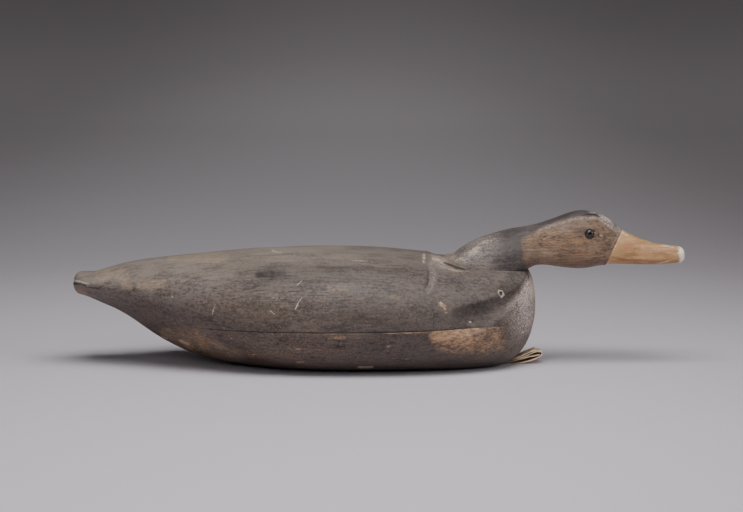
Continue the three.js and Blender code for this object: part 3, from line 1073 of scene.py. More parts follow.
@dataclass
class Body:
    """The two carved halves of the body, with their lines, joint, hollow and shallow carving."""

    NAMES = {Half.UPPER: "carved_back", Half.LOWER: "carved_base"}
    SOLIDS = {
        Half.UPPER: ("body_upper", "painted_back"),
        Half.LOWER: ("body_lower", "painted_base"),
    }

    head: "Head"
    tail_tip: float = -244.2
    breast_front: float = 125.3
    keel_meets: Span = (-200, -190)
    keel_steps: int = 4000
    gap: float = 0.12
    seam_height: float = 36.4
    seam_at: float = -30
    seam_pitch: float = math.radians(0.4)
    back: Curve = Curve((
        (-244, 73.4), (-236, 73.6), (-227, 73.8), (-219, 76.3), (-205, 80.3), (-180, 84.6), (-144, 88.2),
        (-100, 92.0), (-40, 94.1), (0, 93.1), (34, 90.0), (39, 89.6), (45, 87.4), (59, 86.8), (80, 83.6),
        (113, 80.6),
    ))
    keel: Curve = Curve((
        (-244, 56.6), (-236, 54.9), (-223, 49.2), (-209, 42.8), (-197, 35.6), (-184, 26.4), (-171, 18.2),
        (-159, 12.2), (-144, 6.3), (-128, 2.6), (-104, -0.6), (-70, -2), (50, -2), (88, -1),
    ))
    widest: Curve = Curve((
        (-244, 64.6), (-224, 65.2), (-204, 62), (-176, 56), (-140, 50.5), (-100, 46), (-50, 43), (0, 42),
        (30, 40.5), (55, 37), (78, 35), (97, 38.5), (112, 43), (125, 48),
    ))
    half_width: Curve = Curve((
        (-244, 21), (-224, 23.5), (-204, 29), (-176, 41.5), (-144, 55.5), (-104, 69.5), (-60, 77.4),
        (-25, 79),
    ))
    back_fullness: Curve = Curve((
        (-244, 2.2), (-200, 2.1), (-60, 2.1), (40, 2.05), (75, 1.9), (97, 1.75), (112, 1.65), (125, 1.7),
    ))
    bilge_fullness: Curve = Curve((
        (-244, 1.7), (-200, 1.3), (-150, 1.35), (-110, 1.85), (-60, 2.5), (60, 2.6), (125, 2.2),
    ))
    widest_at: float = -25
    bow_sharpness: float = 2.1
    tail_tip_round: float = 5
    tail_plan_round: float = 17
    tail_plan_fullness: float = 2.6
    breast_point: float = 48
    breast_top: Point = (113.3, 32.6, 2)
    breast_under: Point = (88, 49, 2.2)
    shelf_from: float = 44
    shelf_to: float = 119
    shelf_front_round: float = 4
    shelf_back_round: float = 30
    shelf_fullness: float = 5
    shelf_blend: float = 1.6
    shelf_top: Curve = Curve((
        (44, 86), (58, 82.5), (75, 79), (97, 77.4), (119, 77),
    ))
    shelf_half_width: Curve = Curve((
        (44, 50), (60, 47.5), (75, 46), (86, 43), (97, 38), (107, 31), (114, 25), (119, 20),
    ))
    scoop_from: float = 42
    scoop_to: float = 119
    scoop_blend: float = 6
    scoop_height: Curve = Curve((
        (42, 41), (60, 42.5), (73, 45), (85, 48.5), (97, 53), (106, 57.5), (113, 63), (119, 70),
    ))
    scoop_radius: Curve = Curve((
        (42, 18), (73, 15), (97, 10), (110, 6), (119, 4),
    ))
    scoop_depth: Curve = Curve((
        (42, 0), (52, 1.5), (62, 4.2), (73, 6.4), (84, 6), (95, 4), (106, 2.4), (113, 1.2), (119, 0),
    ))
    mantle: Curve = Curve((
        (57, 31.5), (61, 33), (67, 35.4), (73.5, 38), (79, 38.4), (85, 36.6), (90, 35.6),
    ))
    tail_line: Curve = Curve(((-244, 66.6), (-237, 67.1), (-231, 66.4)))
    nail: Point = (95.6, -38.8, 61.5)
    knot: Point = (-84.9, -53.6, 78.9)
    bare_near: tuple[Patch, ...] = (
        Patch(((46.9, 57.3), (48.2, 56.3)), 1.5, 1),
        Patch(((50, 54.6), (51, 53)), 1.0, 0.75),
        Patch(((51.6, 50.4),), 1.2, 0.75),
        Patch(((46.3, 48.6),), 1.3, 0.55),
        Patch(((-156, 20), (-150, 15.5)), 3.2, 1.5),
        Patch(((-141.2, 21), (-139.6, 16)), 1.1, 0.75),
        Patch(((-173.4, 23.4), (-170, 21)), 1.6, 1.3),
        Patch(((-16, 6), (-5.2, 6.4)), 1.7, 1),
        Patch(((6.4, 25.5), (8.6, 25.5)), 1.3, 0.55),
        Patch(((-64.6, 22.4), (-60.4, 23.2)), 0.9, 0.8),
        Patch(((-102, 14.8), (-97, 15.6)), 0.8, 0.7),
        Patch(((-64.5, 10.6), (-58.5, 11.2)), 0.7, 0.8),
        Patch(((-83.5, 31.5), (-81, 31)), 2, 0.4),
        Patch(((-38, 32.4), (-26.4, 33)), 2, 0.42),
        Patch(((24.4, 57.1),), 1.1, 0.7),
    )
    rubbed_near: tuple[Patch, ...] = (
        Patch(((47, 33), (58, 32), (72, 31.5)), 9.5, 0.85),
        Patch(((50, 33), (60, 32)), 6, 1.0),
        Patch(((72, 30.6), (90, 31)), 9.5, 0.55),
        Patch(((50, 26), (74, 23), (92, 23)), 9, 0.5),
        Patch(((-154, 27), (-142, 32), (-134, 24)), 11, 0.3),
        Patch(((-143, 30), (-137, 17)), 4.5, 0.62),
        Patch(((-158, 20), (-148, 14)), 5, 0.4),
    )
    rubbed_far: tuple[Patch, ...] = (
        Patch(((16, 30), (44, 29)), 8, 0.6),
        Patch(((-158, 24), (-141, 28)), 10, 0.4),
    )
    bare_far: tuple[Patch, ...] = (
        Patch(((-150, 22), (-138, 18)), 4, 0.6),
        Patch(((-70, 60), (-58, 61)), 3, 0.55),
    )
    stains: tuple[Patch, ...] = (
        Patch(((-188, 66.8), (-169, 69.5)), 4, 0.7),
        Patch(((-160, 73),), 5, 0.3),
        Patch(((-166, 86), (-121, 87)), 3.2, 0.6),
        Patch(((-222, 73), (-203, 73.5), (-199, 67.5)), 6, 0.62),
        Patch(((-38, 69.5), (-26.4, 68.6)), 3.8, 0.5),
        Patch(((9.4, 63), (14.6, 63)), 2.2, 0.6),
        Patch(((-38, 54.8), (-32.5, 55.6)), 2.8, 0.4),
        Patch(((52, 54),), 10, 0.35),
        Patch(((60, 20), (98, 20)), 11, 0.35),
        # Lighter over the stern's underside: stain, and painted fill light where it faces the floor
        Patch(((-165, 24), (-148, 22), (-118, 10)), 13, 0.62),
        Patch(((46, 86), (54, 84), (62, 81)), 7, 0.5),
        Patch(((70, 46), (88, 50)), 5, 0.2),
    )
    # The first two patches are painted shade in the hollow beside the breast and in the throat under the
    # head; the knot and the band along the side after them are darker paint
    shades: tuple[Patch, ...] = (
        Patch(((62, 49), (78.6, 50.8), (94.8, 56.5), (107, 64.7)), 8, 0.72),
        Patch(((100, 66), (108, 72), (114, 80)), 8.5, 0.66),
        Patch(((-94, 78.2), (-83, 78.8)), 3.4, 1.0),
        Patch(((-86, 79), (-74, 79.6)), 2.8, 0.8),
        Patch(((-92, 78.4), (-40, 79.5), (10, 79)), 8, 0.5),
        Patch(((-106, 78), (-92, 78.4)), 10, 0.34),
        Patch(((-118, 77), (-104, 78)), 13, 0.18),
        Patch(((-100, 71), (-60, 70)), 5, 0.25),
    )
    notch_along: Span = (94.6, 119.4)
    notch_half_width: float = 8
    notch_top: float = 6
    rings: int = 400
    front_from: float = 38
    front_weight: float = 1.7
    upper_rays: int = 92
    lower_rays: int = 58
    scoop_miss: float = 54
    level_rays: Span = (-STRAIGHT_UP, math.pi / 3)
    level_margin: float = 1e-4
    level_steps: int = 44

    # The shallow carving
    hand: tuple[Ripple, ...] = (Ripple(3, (58, 26, 24), 0.28), Ripple(5, (21, 8, 7), 0.08))
    hand_from: Span = (0.4, 5)
    mantle_lips: tuple[Trace, ...] = (
        Trace(0.5, up=MANTLE_UP, width=2.0, offset=4.6),
        Trace(0.25, up=MANTLE_UP, width=1.6, offset=-2.4),
    )
    mantle_ahead: Trace = Trace(-1.2, up=MANTLE_UP, width=2.4)
    mantle_behind: Trace = Trace(-1.2, up=MANTLE_UP, width=0.9)
    seam_groove: Trace = Trace(-0.3, along=((-150, -125), (92, 74)), width=0.6)
    neck_fillet: Trace = Trace(0.9, along=((60, 68), (117, 110)), width=2.6)
    neck_fillet_above: float = 72
    tail_groove: tuple[Trace, ...] = (
        Trace(-0.75, along=TAIL_END, width=0.7),
        Trace(0.2, along=TAIL_END, width=0.8, offset=-1.6),
    )
    nail_hole: tuple[Trace, ...] = (Trace(0.3, width=0.8, offset=2.3), Trace(-1.6, width=1.0))
    knot_stretch: Point = (2.2, 1, 1)
    knot_dip: Trace = Trace(-0.35, width=3.2)
    ragged: Ripple = Ripple(9, (3.5, 2.5, 2.5))
    ragged_level: float = 0.5
    chips: tuple[Trace, ...] = (
        Trace(-0.9, width=4.2, line=((-160, 24), (-149, 16.5), (-140, 12))),
        Trace(-0.45, width=2.2, line=((48.5, 56.2),)),
        Trace(-0.45, width=1.8, line=((52.4, 50.8),)),
        Trace(-0.45, width=2.0, line=((-60.4, 23.9),)),
        Trace(-0.45, width=1.8, line=((7.1, 25.8),)),
    )
    breast_fade: float = 2
    tail_fade: float = 0.6

    # The wear of the paint
    fraying: Ripple = Ripple(21, (9, 6, 6))
    seam_edge: float = 0.3
    bare_above: float = 44
    seam_bare: tuple[Trace, ...] = (
        Trace(0.52, along=((-120, -90), (92, 60)), width=0.55, offset=-0.7, fray=0.28),
        Trace(0.3, along=((-140, -120),), width=0.8, offset=-0.8, fray=0.4),
    )
    rubbed_below: Span = (0.4, -0.2)
    rubbed_tail: Zone = Zone(0.5, along=((-226, -238),), up=((66.4, 63),))
    stain_far: float = 0.35
    mantle_chip: Trace = Trace(0.66, width=1.5, line=((35.6, 88.6), (34.9, 85.6)))
    mantle_chip_side: Span = (8, 0)
    pale_chips: tuple[Patch, ...] = (
        Patch(((-157.5, 20.6), (-152, 18)), 1.6, 1.3),
        Patch(((-15, 6), (-6, 6.2)), 1.5, 1),
        Patch(((47.6, 57),), 1.3, 0.7),
        Patch(((-173, 22), (-170, 20)), 1.0, 0.75),
    )
    neck_pale: tuple[Trace, ...] = (
        Trace(0.5, width=2.0, fray=0.25, line=BESIDE_NECK),
        Trace(0.36, width=1.4, line=((50, 81.5), (60, 79), (72, 77.5))),
    )
    # Painted highlight on the bright edge of the breast beside the throat, where it catches the light
    throat_highlight: Zone = Zone(0.72, along=((117, 121.5),), up=((46, 62), (80, 75)))
    tail_pale: Trace = Trace(1.1, along=((-228, -233),), width=0.9, offset=0.7)
    nail_ring: Trace = Trace(0.8, width=0.9, offset=2.3, fray=0.5)
    nail_uneven: Ripple = Ripple(41, (2.4, 2.4, 2.4))
    nail_stray: float = 0.7
    # Painted shade along the mantle's edge, where the step's face is in shadow
    mantle_dark: Trace = Trace(0.7, up=((66, 72), (85, 81)), width=0.9, offset=0.1, fray=0.3)
    seam_dark: Trace = Trace(1.2, along=((-150, -122), (96, 74)), width=0.42)
    tail_dark: Trace = Trace(0.9, along=((-229, -233),), width=0.7, offset=-0.9)
    nail_dark: Trace = Trace(1.0, width=1.1)
    shade_far: float = 0.4
    front_shade: Zone = Zone(0.46, along=((-75, 15), (114, 94)))
    front_shade_low: float = 0.2
    front_shade_up: Span = (60, 50)
    nail_shade: Trace = Trace(0.5, width=1.4)
    # Dust with painted sheen on the breast, where it faces the light
    breast_dust_and_sheen: Zone = Zone(1, along=((90, 119),), up=((80, 70), (14, 40)))
    breast_unshaded: float = 1.3
    # Pale band on the slope ahead of the mantle's edge: worn paint, and a painted highlight where the slope
    # catches the light
    mantle_slope: Trace = Trace(0.32, up=((62, 70), (84, 78)), width=2.6, offset=3.8)
    neck_dust: Trace = Trace(0.6, width=3.4, line=BESIDE_NECK)

    def seam(self, x: np.ndarray) -> np.ndarray:
        """Height of the seam between the halves at x."""
        return self.seam_height + (x - self.seam_at) * math.tan(self.seam_pitch)

    def breast_arc(self, x: np.ndarray, arc: Point) -> np.ndarray:
        """Height of a breast arc at x; the arc is its start, height and power."""
        start, height, power = arc
        along = np.clip((x - start) / (self.breast_front - start), 0, 1)
        return height * (1 - along**power) ** (1 / power)

    def hull(self, x: np.ndarray) -> Section:
        """The plain hull's section at x, before the shelf and the hollow."""
        widest = self.widest(x)
        tip = end_round(x - self.tail_tip, self.tail_tip_round)
        plan = end_round(x - self.tail_tip, self.tail_plan_round, self.tail_plan_fullness)
        bow = np.clip((x - self.widest_at) / (self.breast_front - self.widest_at), 0, 1)
        over = self.breast_point + self.breast_arc(x, self.breast_top)
        under = self.breast_point - self.breast_arc(x, self.breast_under)
        back = np.where(x < self.breast_top[0], self.back(x), over)
        keel = np.where(x < self.breast_under[0], self.keel(x), under)
        return Section(
            self.half_width(x) * plan * np.sqrt(1 - bow**self.bow_sharpness),
            widest,
            widest + (back - widest) * tip,
            widest - (widest - keel) * tip,
            self.back_fullness(x),
            self.bilge_fullness(x),
        )

    def shelf(self, x: np.ndarray) -> Section:
        """The block under the neck, of which only the upper half is used."""
        front = end_round(self.shelf_to - x, self.shelf_front_round)
        ends = front * end_round(x - self.shelf_from, self.shelf_back_round)
        widest = self.widest(x)
        height = (self.shelf_top(x) - widest) * ends
        full = np.full_like(widest, self.shelf_fullness)
        return Section(self.shelf_half_width(x) * ends, widest, widest + height, widest - height, full, full)

    def reach_to_scoop(self, x: np.ndarray, angle: np.ndarray, hull: Section) -> np.ndarray:
        """How far a ray gets before it enters the hollow beside the breast.

        Args:
            x: The rings.
            angle: The rays, in radians above level.
            hull: The hull's sections at x.

        Returns:
            The reach, or a very long one where the ray misses the hollow.
        """
        rise = self.scoop_height(x) - hull.widest
        half = hull.half_width_at(self.scoop_height(x))
        radius = self.scoop_radius(x)
        far = np.maximum(np.hypot(half, rise), TINY)
        away = (far + radius - self.scoop_depth(x)) / far
        along = np.abs(np.cos(angle)) * half * away + np.sin(angle) * rise * away
        inside = radius**2 - (half * away) ** 2 - (rise * away) ** 2 + along**2
        return np.where(inside > 0, along - np.sqrt(np.maximum(inside, 0)), np.inf)

    def reach(self, x: np.ndarray, angle: np.ndarray) -> np.ndarray:
        """How far the body reaches along a ray at x, with its flat underside."""
        hull = self.hull(x)
        plain = hull.reach(angle)
        shelf = np.where(angle > 0, self.shelf(x).reach(angle), 0)
        shelved = blended_max(plain, shelf, self.shelf_blend)
        scoop = np.minimum(self.reach_to_scoop(x, angle, hull), shelved + self.scoop_miss)
        hollowed = -blended_max(-shelved, -scoop, self.scoop_blend)
        inside = (x > self.scoop_from) & (x < self.scoop_to)
        carved = np.where(inside, hollowed, plain)
        down = np.maximum(-np.sin(angle), TINY)
        return np.where(angle < 0, np.minimum(carved, hull.widest / down), carved)

    def seam_angle(self, x: np.ndarray, level: np.ndarray) -> np.ndarray:
        """The ray of each ring that meets a level, or straight down where the level is below it.

        Args:
            x: The rings.
            level: The level's height at each ring.

        Returns:
            Angles in radians above level.
        """
        low, high = (np.full(len(x), ray) for ray in self.level_rays)
        middle = self.widest(x)
        for _ in range(self.level_steps):
            trial = (low + high) / 2
            under = middle + self.reach(x, trial) * np.sin(trial) < level
            low = np.where(under, trial, low)
            high = np.where(under, high, trial)
        return np.where(low < self.level_margin - STRAIGHT_UP, -STRAIGHT_UP, low)

    def ring_places(self, start: float) -> np.ndarray:
        """Where the rings stand, evenly along the surface and closer together at the breast."""
        x = crowded_ends(start, self.breast_front)
        hull = self.hull(x)
        lift = np.maximum(np.abs(np.diff(hull.top)), np.abs(np.diff(hull.bottom)))
        step = np.sqrt(np.diff(x) ** 2 + np.maximum(lift, np.abs(np.diff(hull.half_width))) ** 2)
        weight = np.where(x[1:] > self.front_from, self.front_weight, 1)
        return spaced(x, step * weight, self.rings)

    def relief(self, points: np.ndarray) -> np.ndarray:
        """How far the surface stands out from its plain form at each point."""
        x, y, z = np.moveaxis(points, -1, 0)
        past_mantle = x - self.mantle(z)
        over_tail_line = z - self.tail_line(x)
        beside_neck = np.maximum(np.abs(y) - self.head.half_width(x), 0)
        from_nail = np.linalg.norm(points - self.nail, axis=-1)
        from_knot = np.linalg.norm((points - self.knot) / self.knot_stretch, axis=-1)
        ragged = np.clip(self.ragged(points) + self.ragged_level, 0, 1)
        out = sum(ripple(points) for ripple in self.hand) * smoothstep(z, *self.hand_from)
        out += sum(lip.beside(points, past_mantle) for lip in self.mantle_lips)
        ahead, behind = (cut.beside(points, past_mantle) for cut in (self.mantle_ahead, self.mantle_behind))
        out += np.where(past_mantle > 0, ahead, behind)
        out += self.seam_groove.beside(points, z - self.seam(x))
        out += self.neck_fillet.beside(points, beside_neck) * (z > self.neck_fillet_above)
        out += sum(groove.beside(points, over_tail_line) for groove in self.tail_groove)
        out += sum(part.beside(points, from_nail) for part in self.nail_hole)
        out += self.knot_dip.beside(points, from_knot)
        return out + sum(chip.on_line(points) for chip in self.chips) * ragged * (y < 0)

    def start_of(self, half: Half) -> float:
        """Where a half's first ring stands: at the tail's tip, or where the keel meets the joint."""
        if half is Half.UPPER:
            return self.tail_tip
        stern = np.linspace(*self.keel_meets, self.keel_steps)
        return float(stern[np.argmax(self.keel(stern) < self.seam(stern) - self.gap / 2)])

    def build(self, half: Half) -> bpy.types.Object:
        """Builds one half, from its joint face to its pole, straight up or down."""
        loft = Loft(self.widest, self.reach)
        x = self.ring_places(self.start_of(half))
        first = self.seam_angle(x, self.seam(x) + half.value * self.gap / 2)
        count = self.upper_rays if half is Half.UPPER else self.lower_rays
        rays = loft.half(x, first, half.value * STRAIGHT_UP, count)
        grid = loft.grid(x, rays, loop=False)
        relief = self.relief(grid) * smoothstep(np.abs(x[:, None] - x[-1]), 0, self.breast_fade)
        relief *= smoothstep(np.abs(x[:, None] - x[0]), 0, self.tail_fade)
        moved = grid + outward(grid, loop=False) * relief[..., None]
        seam_columns = [0, -1]
        on_seam = moved[:, seam_columns]
        on_seam[..., 2] = np.where(first[:, None] > -STRAIGHT_UP, grid[:, seam_columns, 2], on_seam[..., 2])
        moved[:, seam_columns] = on_seam
        moved[..., 2] = np.maximum(moved[..., 2], 0)
        return grid_piece(self.NAMES[half], moved)

    def notch(self) -> bpy.types.Object:
        """Builds the tool that cuts the notch for the leather strip in the underside."""
        side, top = self.notch_half_width, self.notch_top
        ring = np.array([(-side, -1), (side, -1), (side, top), (-side, top)], float)
        grid = [np.insert(ring, 0, x, axis=1) for x in self.notch_along]
        return grid_piece("strap_notch", np.stack(grid))

    def wear(self, piece: bpy.types.Object) -> None:
        """Stores where the paint of a half is bare, pale or dark, and where painted shade and the pale
        stipple with its painted sheen go.
        """
        spots = places(piece)
        x, y, z = spots.T
        near = smoothstep(y, *NEAR_SIDE)
        over_seam = z - self.seam(x)
        over_tail_line = z - self.tail_line(x)
        past_mantle = x - self.mantle(z)
        from_nail = np.linalg.norm(spots - self.nail, axis=-1)
        frayed = self.fraying(spots)
        bare_near = all_of(self.bare_near, spots)
        below = over_seam < self.seam_edge
        bare = strongest(
            np.where(y < 0, bare_near, all_of(self.bare_far, spots)) * below,
            bare_near * (y < 0) * ~below * (z > self.bare_above),
            *(trace.beside(spots, over_seam, frayed) for trace in self.seam_bare),
        )
        rubbed = np.where(y < 0, all_of(self.rubbed_near, spots), all_of(self.rubbed_far, spots))
        rubbed = rubbed * np.maximum(smoothstep(over_seam, *self.rubbed_below), x < 0)
        uneven = self.nail_uneven(spots)
        pale = strongest(
            self.mantle_chip.on_line(spots) * smoothstep(y, *self.mantle_chip_side),
            all_of(self.pale_chips, spots) * (y < 0),
            *(trace.on_line(spots, frayed) * near for trace in self.neck_pale),
            # painted highlight beside the throat
            self.throat_highlight(spots),
            self.tail_pale.beside(spots, over_tail_line),
            self.nail_ring.beside(spots, from_nail - self.nail_stray * uneven, uneven),
        )
        dark = strongest(
            # painted shade along the mantle's edge
            self.mantle_dark.beside(spots, past_mantle, frayed),
            self.seam_dark.beside(spots, over_seam),
            self.tail_dark.beside(spots, over_tail_line),
            self.nail_dark.beside(spots, from_nail),
            NECK_CRACK.on_line(spots) * near,
        )
        low = self.front_shade_low * smoothstep(z, *self.front_shade_up)
        shade = strongest(
            all_of(self.shades, spots) * on_both(near, self.shade_far),
            self.front_shade(spots) * (1 - self.front_shade_low + low),
        )
        shade += self.nail_shade.beside(spots, from_nail)
        # Pale stipple: dust with painted sheen on the breast, worn paint with a painted highlight on the
        # slope ahead of the mantle, and dust beside the neck
        breast = strongest(
            self.breast_dust_and_sheen(spots) * (1 - np.clip(self.breast_unshaded * shade, 0, 1)),
            self.mantle_slope.beside(spots, past_mantle) * near,
            self.neck_dust.on_line(spots) * near,
        )
        stain = all_of(self.stains, spots) * on_both(near, self.stain_far)
        store(piece, {
            "rubbed": strongest(rubbed, self.rubbed_tail(spots)),
            "bare": bare, "stain": stain, "pale": pale, "dark": dark, "shade": shade, "breast": breast,
        })

    def dress(self, piece: bpy.types.Object, half: Half, finish: OldPaint) -> None:
        """Smooths, wears and paints a half, and puts it in place of its solid."""
        smooth(piece)
        self.wear(piece)
        settle(piece, *self.SOLIDS[half], finish.make())


def settle(piece: bpy.types.Object, node: str, slot: str, material: bpy.types.Material) -> None:
    """Puts a finished piece in place of its solid.

    Args:
        piece: The finished piece.
        node: The solid that it stands for.
        slot: The record's material slot; not used.
        material: Its material.
    """
    piece.data.materials.clear()
    piece.data.materials.append(material)
    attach(piece, ROOT)
    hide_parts(node)
    log.info("%s: %d faces, in place of %s", piece.name, len(piece.data.polygons), node)


# The head


@dataclass
class Head:
    """The neck, head and bill, carved in one piece, with its seat, cheek edge and eye sockets."""

    neck_back: float = 49.5
    bill_tip: float = 244.2
    crown: Curve = Curve((
        (49, 86.9), (60, 88.6), (65, 92.6), (73, 97.8), (83, 102.4), (103, 108.2), (117, 110.6), (128, 112.9),
        (139, 116.4), (150, 120.6), (160, 122.9), (169, 122.3), (177, 120.2), (184, 116), (192, 109.2),
        (204, 102.8), (219, 97.2), (236, 94.4), (244, 92.8),
    ))
    chin: Curve = Curve((
        (49, 66), (90, 66), (106, 70), (115, 75), (119.5, 77.2), (124, 79.2), (131, 79.9), (142, 78.4),
        (154, 77.1), (164, 77.1), (174, 78.8), (184, 80), (219, 80.1), (232, 80.9), (244, 82.2),
    ))
    widest: Curve = Curve((
        (49, 76), (100, 76.5), (118, 85), (135, 94), (165, 95.5), (182, 91), (200, 86.5), (244, 87.6),
    ))
    half_width: Curve = Curve((
        (49, 24), (75, 24.6), (98, 23), (112, 19.8), (121, 18.4), (130, 19.4), (142, 21.2), (154, 21.8),
        (166, 20.8), (176, 17.8), (185, 14.4), (194, 12.8), (208, 12.4), (228, 13.8), (244, 13.8),
    ))
    top_fullness: Curve = Curve((
        (49, 3.4), (60, 2.6), (72, 1.8), (110, 1.9), (130, 2.4), (170, 2.6), (186, 2.2), (205, 2.1),
        (244, 2.6),
    ))
    under_fullness: Curve = Curve((
        (49, 2.5), (120, 2.4), (150, 2.2), (190, 2.6), (244, 3),
    ))
    neck_plan_round: float = 20
    neck_end_round: float = 0.8
    bill_tip_round: float = 3.4
    bill_plan_round: float = 11
    plan_fullness: float = 2.2
    seat_height: float = 76
    seat_rise: float = 6.5
    seat_power: float = 3
    seat_run: float = 60
    seat_level: float = 113
    seat_to: float = 119.4
    gap: float = 0.15
    crown_edge: Curve = Curve((
        (112, 101), (118.2, 104.3), (127.7, 109.1), (136.4, 112.7), (144.2, 115.6), (154.1, 118.5),
        (163.8, 119.5),
        (173.9, 118.8), (178.7, 115.6), (183.5, 111.8), (189.7, 107.7), (196, 104),
    ))
    neck_edge: Curve = Curve((
        (76, 118), (84, 114.7), (90.3, 113.1), (96.4, 112.4), (102.4, 111.8), (106, 114),
    ))
    bill_base: Curve = Curve((
        (78, 180), (82.2, 181.3), (89.8, 184), (98.4, 188.1), (106.4, 192.7), (110, 196),
    ))
    mouth: Curve = Curve((
        (183.5, 87), (195.5, 84.4), (209.8, 83.6), (224, 83.8), (231.8, 86),
    ))
    eye: Span = EYE_CENTRE
    eye_radius: float = 3.6
    stains: tuple[Patch, ...] = (
        Patch(((120, 92), (128, 90), (137, 86)), 8, 0.6),
        Patch(((150, 86), (168, 85)), 5, 0.35),
        Patch(((56, 87), (62, 84)), 5, 0.5),
    )
    blush: tuple[Patch, ...] = (
        Patch(((197.8, 95.8),), 5, 0.75),
        Patch(((206, 92), (216, 90)), 4, 0.42),
        Patch(((190, 84.5), (228, 84)), 1.6, 0.55),
    )
    shades: tuple[Patch, ...] = (
        Patch(((158, 115), (173, 113), (182, 104), (183, 96)), 11, 0.5),
        Patch(((120, 82), (120, 92)), 9, 0.5),
        Patch(((98, 84), (108, 84), (112, 92)), 11, 0.5),
        Patch(((96, 99), (108, 101)), 11, 0.5),
        Patch(((112, 79), (118, 79)), 5, 0.75),
    )
    rings: int = 330
    rays: int = 92
    near: tuple[float, ...] = (0.8, 1.6)

    # Where the rings crowd along x, at the eye and at the bill's root
    crowds: tuple[Trace, ...] = (Trace(0.8, width=7, offset=EYE_CENTRE[0]), Trace(0.5, width=7, offset=190))

    # The pocket in the body that the neck's foot stands in
    pocket_to: float = 150
    pocket_rings: int = 150
    pocket_rays: int = 60
    open_crack: Trace = Trace(0.5, width=3.5, line=((53, 83), (58, 82), (65, 80)))

    # The shallow carving
    hand: tuple[Ripple, ...] = (Ripple(13, (30, 12, 12), 0.16), Ripple(15, (11, 5, 5), 0.05))
    hand_from: Span = (77, 80)
    end_fade: float = 1.5
    carved_side: Span = (3, 7)
    mouth_side: Span = (5, 8)
    eye_side: Span = (8, 11)
    crown_lips: tuple[Trace, ...] = (
        Trace(0.4, along=((116, 126), (196, 188)), width=1.3, offset=-0.6),
        Trace(-0.45, along=((116, 126), (196, 188)), width=3.4, offset=-5),
    )
    brow_groove: Trace = Trace(-0.3, width=0.7, line=BROW)
    jowl: Ledge = Ledge(0.35, up=((78, 84), (106, 100)), rise=(-1.2, 0.8), run=9)
    bill_ridge: Trace = Trace(0.45, width=0.9, offset=-0.8)
    bill_step: Ledge = Ledge(-0.45, rise=(-0.6, 0.5), run=14)
    mouth_groove: Trace = Trace(-0.55, along=((183.5, 186), (233, 230)), width=0.5)
    eye_rim: Trace = Trace(0.3, width=1.2, offset=5.4)
    lid_grooves: tuple[Trace, ...] = (
        Trace(-0.5, width=0.6, line=((169.6, 108.2), (170.8, 108.6))),
        Trace(-0.35, width=0.8, line=((173.8, 105.8), (174.2, 103.6))),
    )
    cheek_split: Trace = Trace(-0.3, width=0.45, line=((143.8, 94.6), (151.7, 92.7), (159.6, 91.6)))

    # The wear of the paint
    painted_side: Span = (2, 6)
    crown_middle: float = 6
    fraying: Ripple = Ripple(31, (7, 4, 4))
    # Pale band along the crown's edge: worn paint, and a painted highlight where the edge turns up to the
    # light
    crown_band: Trace = Trace(0.66, along=((120, 134), (194, 186)), width=1.4, offset=-0.8, fray=0.3)
    crown_pale: float = 0.36
    # Painted highlight on the forehead above the crown's edge
    forehead: Zone = Zone(1, along=((171, 178), (197, 190)))
    forehead_over_edge: Span = (-2, 0.6)
    forehead_band: Span = (0.7, 0.3)
    forehead_pale: Span = (0.32, 0.3)
    # Painted highlight along the top of the crown and along the nape, on both sides
    pale_all_round: tuple[Trace, ...] = (
        Trace(0.42, width=1.2, line=((167, 122.4), (173, 121.6))),
        Trace(0.38, width=5, fray=0.2, line=NAPE),
    )
    pale_foot: Trace = Trace(0.55, width=2.0, line=((49, 84.5), (56, 82), (64, 79.4)))
    pale_lids: tuple[Trace, ...] = (
        Trace(0.5, width=1.3, line=((175.4, 105), (177, 103.6))),
        Trace(0.55, width=0.6, line=((162.5, 111.3), (169.5, 111.2))),
    )
    dark_brow: Trace = Trace(0.75, width=0.9, line=BROW)
    dark_lids: tuple[Trace, ...] = (
        Trace(1, width=0.7, line=((169.4, 108.2), (170.8, 108.7))),
        Trace(0.6, width=0.6, line=((173.8, 105.8), (174.2, 103.6))),
    )
    crown_shade: Zone = Zone(0.45, along=((116, 135), (188, 177)))
    crown_shade_over_edge: Span = (0.5, 3)
    jaw_shade: Zone = Zone(0.45, along=((114, 122), (186, 180)), up=((91, 80),))
    socket_shade: float = 1.3
    socket_round: Span = (4.3, 3.9)
    bare_foot: Trace = Trace(0.4, along=((80, 60),), width=2.4, offset=3)
    tip_end: Zone = Zone(1, along=((235, 242),))
    # Painted highlight along the front of the bill's top edge, where it faces the light
    tip_ridge_highlight: Zone = Zone(0.4, along=((205, 236),))
    tip_ridge_below_crown: Span = (-2.2, -0.4)
    bill_root: Trace = Trace(0.36, width=1.0, offset=1.0)
    root_ridge: Zone = Zone(0.42, along=((204, 195),))
    root_ridge_below_crown: Span = (-5, -1.5)
    lip_pale: Trace = Trace(0.4, along=((196, 208),), width=0.8, offset=-1.4)
    lip_groove: Trace = Trace(0.85, along=((183.5, 190), (233, 229)), width=0.55)
    bill_groove: Trace = Trace(0.5, width=0.7, offset=-0.4)
    bill_groove_below_crown: float = 3
    # Dust and painted sheen along the nape
    nape_dust_and_sheen: Trace = Trace(0.3, along=((104, 92),), width=7, line=NAPE)

